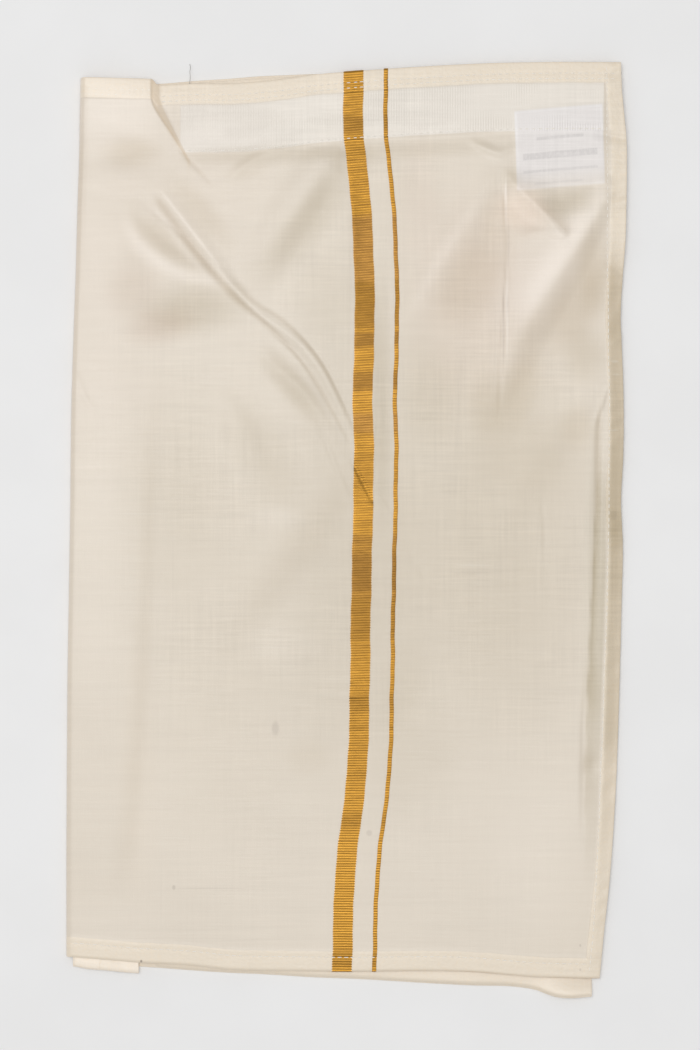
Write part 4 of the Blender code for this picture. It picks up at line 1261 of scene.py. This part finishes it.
def silk(name, front):
    """Cream art silk. The front's material also shows the tape and the label through it."""
    tree = Tree(name)
    across, drop, from_side = tree.attribute("cloth")
    length, from_foot, past_stitch = tree.attribute("edges")
    shade, warm, rosy = tree.attribute("tone")
    value, height = weave(tree, across, drop)
    mottle = tree.noise(across, drop, 0.02, 0.015, 3.0, 0.55, shift=2.2)
    colour = tree.mix(tree.ramp(mottle, 0.3, 0.7), CREAM, tuple(c * 1.02 for c in CREAM[:3]) + (1.0,))
    # hems: three layers of cloth, warmer and paler, with a darker line at the turned ply's edge
    uneven = tree.math("MULTIPLY_ADD", tree.noise(across, drop, 0.12, 0.12, shift=4.0), 0.8, -0.4)
    waist_hem = tree.ramp(tree.math("ADD", length, uneven), HEM - 0.3, HEM + 0.3, 1.0, 0.0)
    foot_hem = tree.ramp(tree.math("ADD", from_foot, uneven), HEM - 0.3, HEM + 0.3, 1.0, 0.0)
    side_hem = tree.ramp(tree.math("ADD", from_side, uneven), SIDE_HEM - 0.2, SIDE_HEM + 0.4, 1.0, 0.0)
    hem = tree.math("MAXIMUM", tree.math("MAXIMUM", waist_hem, foot_hem), side_hem)
    colour = tree.mix(tree.product(hem, 0.85), colour, CREAM_HEM)
    speckle = tree.ramp(tree.noise(across, drop, 0.8, 0.9, 3.0, 0.6, shift=6.6), 0.50, 0.68)
    colour = tree.mix(tree.product(hem, speckle, 0.22), colour, HEM_SPECK)
    height_hem = tree.product(hem, tree.noise(across, drop, 0.9, 0.9, 3.0, 0.6, shift=6.6), 3.0)
    if front:
        # a painted warm shadow line along the foot edge, right of the middle, where it lies over the rear
        # ply
        foot_shadow = tree.ramp(tree.noise(across, drop, 0.05, 0.2, shift=5.0), 0.35, 0.6, 0.15, 0.6)
        foot_shadow = tree.product(foot_shadow, tree.ramp(across, 90.0, 150.0))
        foot_shadow_line = tree.product(tree.ramp(from_foot, 0.1, 1.0, 1.0, 0.0), foot_shadow)
        colour = tree.mix(foot_shadow_line, colour, (0.62, 0.44, 0.28, 1.0))
    waist_line = tree.window(tree.math("ADD", length, uneven), HEM - 0.25, HEM + 0.35, 0.5)
    foot_line = tree.window(tree.math("ADD", from_foot, uneven), HEM - 0.25, HEM + 0.35, 0.5)
    lines = tree.math("MAXIMUM", waist_line, foot_line)
    if front:
        right_of_tuck = tree.ramp(across, TAPE_START - 0.6, TAPE_START + 0.6)
        inside_stitch = tree.ramp(past_stitch, -1.6, -0.9, 1.0, 0.0)
        along_tape = tree.window(tree.math("ADD", length, uneven), TAPE_TOP, TAPE_FOOT, 0.6)
        tape = tree.product(along_tape, right_of_tuck, inside_stitch)
        ribs_here = tree.ramp(tree.noise(across, length, 0.03, 0.08, shift=8.0), 0.36, 0.62)
        rib = tree.product(tree.wave(across, 1.16), ribs_here)
        ribs = tree.math("MULTIPLY_ADD", rib, 0.09, 0.92)
        tape_colour = tree.mix(ribs_here, TAPE_SHOWS, (0.80, 0.745, 0.67, 1.0))
        colour = tree.mix(tree.product(tape, ribs, 0.8), colour, tape_colour)
        height = tree.total(height, tree.product(tape, rib, 1.6))
        u, v, _ = tree.attribute("label")
        label = tree.product(tree.window(u, 0.0, LABEL_WIDE, 0.9), tree.window(v, 0.0, LABEL_TALL, 1.4))
        # a painted highlight along the label's edges, stronger near its top
        rim = tree.math("SUBTRACT", label, tree.product(
            tree.window(u, 1.1, LABEL_WIDE - 1.1, 0.5), tree.window(v, 1.1, LABEL_TALL - 1.1, 0.5)))
        fade = tree.ramp(v, LABEL_TALL - 10, LABEL_TALL, 0.92, 0.50)
        colour = tree.mix(tree.product(label, fade), colour, LABEL_SHOWS)
        rim = tree.product(rim, tree.ramp(v, 4.0, LABEL_TALL - 12, 0.45, 0.12))
        colour = tree.mix(rim, colour, (0.88, 0.85, 0.83, 1.0))
        colour = tree.mix(tree.product(plain_bars(tree, u, v), label), colour, (0.50, 0.47, 0.46, 1.0))
    for mark in MARKS if front else ():
        x = tree.math("DIVIDE", tree.math("SUBTRACT", across, mark.across), mark.half_across)
        y = tree.math("DIVIDE", tree.math("SUBTRACT", drop, mark.drop), mark.half_drop)
        far = tree.math("SQRT", tree.total(tree.product(x, x), tree.product(y, y)))
        amount = tree.product(tree.ramp(far, 0.35, 1.0, 1.0, 0.0), abs(mark.light))
        target = (0.93, 0.88, 0.80, 1.0) if mark.light > 0 else (0.20, 0.15, 0.12, 1.0)
        colour = tree.mix(amount, colour, target)
    # painted shade and painted sheen from the tone attribute: warm and rosy tint the colour, shade over 0
    # darkens it and shade below 0 lightens it
    colour = tree.mix(tree.product(warm, 0.5), colour, WARM)
    bright = tree.total(1.0, value, tree.product(lines, -0.05))
    grey = tree.nodes.new("ShaderNodeCombineColor")
    for socket, loss, rosy_loss in zip(grey.inputs[:3], SHADE_LOSS, ROSY_LOSS):
        tree.join(tree.total(bright, tree.product(shade, -loss), tree.product(rosy, -rosy_loss)), socket)
    colour = tree.mix(1.0, colour, grey.outputs[0], "MULTIPLY")
    tree.join(colour, tree.shader.inputs["Base Color"])
    rough = tree.math("MULTIPLY_ADD", tree.noise(across, drop, 0.05, 0.9, shift=6.0), 0.10, 0.36)
    tree.join(rough, tree.shader.inputs["Roughness"])
    tree.shader.inputs["Sheen Weight"].default_value = 0.15
    tree.shader.inputs["Sheen Roughness"].default_value = 0.4
    tree.shader.inputs["Specular IOR Level"].default_value = 0.9
    height = tree.total(height, height_hem)
    tree.join(tree.bump(height, 0.35, 0.00012), tree.shader.inputs["Normal"])
    return tree.material


# Plain bars of the label, in place of any print: where each runs, as distances in the label.
Bar = namedtuple("Bar", "left right down tall strength")
BARS = (
    Bar(9.5, 31.0, 12.6, 1.4, 0.40),
    Bar(3.2, 37.0, 19.6, 3.0, 0.46),
    Bar(3.0, 37.0, 27.4, 1.2, 0.34),
    Bar(8.0, 30.0, 33.2, 1.0, 0.22),
)


def plain_bars(tree, u, v):
    """The bars' strength at a place in the label, seen through the cloth."""
    bars = 0.0
    for bar in BARS:
        along = tree.window(u, bar.left, bar.right, 0.8)
        down = tree.window(v, bar.down, bar.down + bar.tall, 0.7)
        bars = tree.math("ADD", tree.product(along, down, bar.strength), bars)
    blur = tree.noise(u, v, 0.9, 0.5, shift=3.0)
    return tree.product(bars, tree.ramp(blur, 0.25, 0.6, 0.55, 1.0))


# Lengths of both bands painted duller, as shade where creases cross them; copper ones are paler and
# browner.
Dull = namedtuple("Dull", "start stop strength copper", defaults=(0.0,))
DULL_SHADE = (
    Dull(20.5, 28, 0.55), Dull(66, 96, 0.38, 0.5), Dull(96, 117, 0.62), Dull(119, 126, 0.66, 0.2),
    Dull(137.5, 145.5, 0.64, 0.2), Dull(156, 165, 0.42, 0.5), Dull(174, 190, 0.26),
    Dull(211, 240, 0.42, 0.15), Dull(220, 237, 0.35), Dull(240, 259, 0.45), Dull(284, 291, 0.35),
    Dull(338, 345, 0.35), Dull(399, 408, 0.4),
)


def zari():
    tree = Tree("gold_zari")
    aside, length, edge = tree.attribute("band")
    wobble = tree.math("MULTIPLY_ADD", tree.noise(aside, length, 0.25, 0.4, shift=1.0), 0.5, -0.25)
    rib = tree.wave(tree.math("ADD", length, wobble), RIB)
    crest = tree.wave(tree.math("ADD", tree.math("ADD", length, wobble), RIB / 4), RIB)
    picks = tree.wave(tree.math("ADD", aside, tree.product(wobble, 2.0)), 0.52)
    per_rib = tree.noise(aside, length, 0.07, 1.1, 2.0, 0.6, shift=9.0)
    # painted highlights on the ribs' crests, stronger towards the waist; the band is also paler towards the
    # foot
    light = tree.total(
        tree.product(crest, tree.ramp(length, 150.0, 260.0, 0.68, 0.22)), tree.product(picks, 0.12),
        tree.ramp(per_rib, 0.25, 0.75, 0.0, 0.34), tree.ramp(length, 150.0, 260.0, 0.05, 0.20),
        tree.ramp(length, 310.0, 365.0, 0.0, 0.17),
    )
    ragged = tree.math("MULTIPLY_ADD", tree.noise(aside, length, 0.12, 0.5, shift=5.5), 3.0, -1.5)
    dull_shade = 0.0
    copper = 0.0
    for stretch in DULL_SHADE:
        along = tree.window(tree.math("ADD", length, ragged), stretch.start, stretch.stop, 3.4)
        dull_shade = tree.math("ADD", tree.product(along, stretch.strength), dull_shade)
        if stretch.copper:
            copper = tree.math("ADD", tree.product(along, stretch.copper), copper)
    light = tree.product(light, tree.math("MULTIPLY_ADD", dull_shade, -0.85, 1.0))
    # painted light where the band turns over the waist and foot edges
    turned = tree.math("MAXIMUM", tree.ramp(length, -0.2, 1.2, 1.0, 0.0),
                       tree.ramp(length, NOMINAL - 1.2, NOMINAL + 0.2))
    light = tree.math("ADD", light, tree.product(turned, 0.9))
    colour = tree.mix(light, GOLD_DULL, GOLD_BRIGHT)
    colour = tree.mix(copper, colour, tree.mix(light, COPPER_DULL, COPPER_BRIGHT))
    # where the cream ground yarn shows at the band's two sides
    beside = tree.product(tree.ramp(edge, 0.0, 0.09, 1.0, 0.0), tree.ramp(crest, 0.3, 0.8, 0.0, 0.6))
    colour = tree.mix(beside, colour, (0.74, 0.60, 0.40, 1.0))
    tree.join(colour, tree.shader.inputs["Base Color"])
    tree.shader.inputs["Metallic"].default_value = 0.7
    rough = tree.math("MULTIPLY_ADD", picks, 0.12, 0.34)
    tree.join(rough, tree.shader.inputs["Roughness"])
    height = tree.total(rib, tree.product(picks, 0.15))
    tree.join(tree.bump(height, 0.3, 0.0001), tree.shader.inputs["Normal"])
    return tree.material


def tape_cloth():
    tree = Tree("white_tape")
    across, length, _ = tree.attribute("cloth")
    rib = tree.wave(across, 1.16)
    fine = tree.product(tree.wave(across, 0.5), tree.wave(length, 0.6))
    tone = tree.noise(across, length, 0.1, 0.6, 3.0, shift=1.0)
    colour = tree.mix(tree.ramp(tone, 0.3, 0.7), (0.74, 0.73, 0.71, 1.0), (0.86, 0.855, 0.84, 1.0))
    tree.join(colour, tree.shader.inputs["Base Color"])
    rough = tree.math("MULTIPLY_ADD", tone, 0.2, 0.6)
    tree.join(rough, tree.shader.inputs["Roughness"])
    tree.join(tree.bump(tree.total(rib, fine), 0.5, 0.00015), tree.shader.inputs["Normal"])
    return tree.material


def label_satin():
    tree = Tree("label_satin")
    across, length, _ = tree.attribute("cloth")
    fine = tree.wave(tree.total(across, tree.product(length, 0.5)), 0.35)
    tone = tree.noise(across, length, 0.9, 0.06, 3.0, shift=4.0)
    colour = tree.mix(tree.ramp(tone, 0.3, 0.7), (0.78, 0.77, 0.76, 1.0), (0.87, 0.865, 0.86, 1.0))
    tree.join(colour, tree.shader.inputs["Base Color"])
    rough = tree.math("MULTIPLY_ADD", fine, 0.1, 0.35)
    tree.join(rough, tree.shader.inputs["Roughness"])
    tree.join(tree.bump(fine, 0.3, 0.0001), tree.shader.inputs["Normal"])
    return tree.material


def thread_material(name, low, high):
    tree = Tree(name)
    x, y = tree.place_in_mm()
    twist = tree.wave(tree.total(x, y), 0.35)
    tone = tree.noise(x, y, 0.5, 0.5, 2.0, shift=1.0)
    colour = tree.mix(tree.ramp(tone, 0.3, 0.7), low, high)
    tree.join(colour, tree.shader.inputs["Base Color"])
    rough = tree.math("MULTIPLY_ADD", tone, 0.2, 0.4)
    tree.join(rough, tree.shader.inputs["Roughness"])
    tree.join(tree.bump(twist, 0.4, 0.0001), tree.shader.inputs["Normal"])
    return tree.material


def floor_material():
    tree = Tree("pale_floor")
    x, y = tree.place_in_mm()
    tone = tree.noise(x, y, 0.02, 0.02, 3.0, shift=1.0)
    colour = tree.mix(tree.ramp(tone, 0.3, 0.7), (0.885, 0.882, 0.88, 1.0), (0.905, 0.903, 0.902, 1.0))
    tree.join(colour, tree.shader.inputs["Base Color"])
    tree.shader.inputs["Roughness"].default_value = 0.85
    tree.shader.inputs["Specular IOR Level"].default_value = 0.2
    return tree.material


# ------------------------------------------------------------------ studio
VIEW_TALL = 0.4773
VIEW_FROM = 1.25
SENSOR = 36.0
VIEW_CENTRE = (0.0016, 0.0021)
FLOOR_HALF = 3.0


def studio():
    scene = bpy.context.scene
    data = bpy.data.cameras.new("camera")
    data.sensor_width = SENSOR
    data.lens = SENSOR * VIEW_FROM / VIEW_TALL
    camera = bpy.data.objects.new("camera", data)
    camera.location = (*VIEW_CENTRE, VIEW_FROM + 0.004)
    scene.collection.objects.link(camera)
    scene.camera = camera
    scene.view_settings.view_transform = "Standard"

    mesh = bpy.data.meshes.new("floor")
    corners = [(x * FLOOR_HALF, y * FLOOR_HALF, 0.0) for x, y in ((-1, -1), (1, -1), (1, 1), (-1, 1))]
    mesh.from_pydata(corners, [], [(0, 1, 2, 3)])
    floor = bpy.data.objects.new("floor", mesh)
    floor.data.materials.append(floor_material())
    scene.collection.objects.link(floor)

    key = area_light("key", (-0.18, 0.14, 2.2), (0.97, 1.6), 24.3, (1.0, 0.995, 0.985))
    scene.collection.objects.link(key)
    world = bpy.data.worlds.new("studio")
    world.use_nodes = True
    back = world.node_tree.nodes["Background"]
    back.inputs["Color"].default_value = (0.985, 0.99, 1.0, 1.0)
    back.inputs["Strength"].default_value = 0.465
    scene.world = world


def area_light(name, place_at, size, power, colour):
    data = bpy.data.lights.new(name, "AREA")
    data.shape = "RECTANGLE"
    data.size, data.size_y = size
    data.energy = power
    data.color = colour
    light = bpy.data.objects.new(name, data)
    light.location = place_at
    light.rotation_euler = (-Vector(place_at)).to_track_quat("-Z", "Y").to_euler()
    return light


# ------------------------------------------------------------------ putting it together
def dress(item, material, slot, *nodes):
    item.data.materials.append(material)
    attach(item, ROOT)
    if nodes:
        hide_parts(*nodes)
    return item


def build():
    studio()
    front_silk = silk("cream_art_silk", front=True)
    rear_silk = silk("cream_art_silk_rear", front=False)
    gold = zari()
    front = dress(front_panel(), front_silk, "cream_art_silk", "front_panel")
    rear = dress(rear_plies(), rear_silk, "cream_art_silk", "rear_plies")
    returned = dress(return_ply(), rear_silk, "cream_art_silk", "return_ply")
    wide = dress(band_piece("zari_wide", 0.0, BAND_WIDE, 10), gold, "gold_zari", "zari_band_wide")
    line_piece = band_piece("zari_narrow", BAND_PITCH + 0.1, BAND_NARROW, 5)
    narrow = dress(line_piece, gold, "gold_zari", "zari_band_narrow")
    tape = dress(waist_tape(), tape_cloth(), "white_tape", "waist_tape")
    label = dress(care_label(), label_satin(), "label_satin", "care_label")
    pale = thread_material("sewing_thread", (0.96, 0.90, 0.80, 1.0), (0.98, 0.94, 0.87, 1.0))
    grey = thread_material("loose_grey_thread", (0.30, 0.28, 0.25, 1.0), (0.45, 0.42, 0.38, 1.0))
    sewing = dress(stitches(), pale, "cream_art_silk")
    loose = dress(loose_thread(), grey, "cream_art_silk")


build()
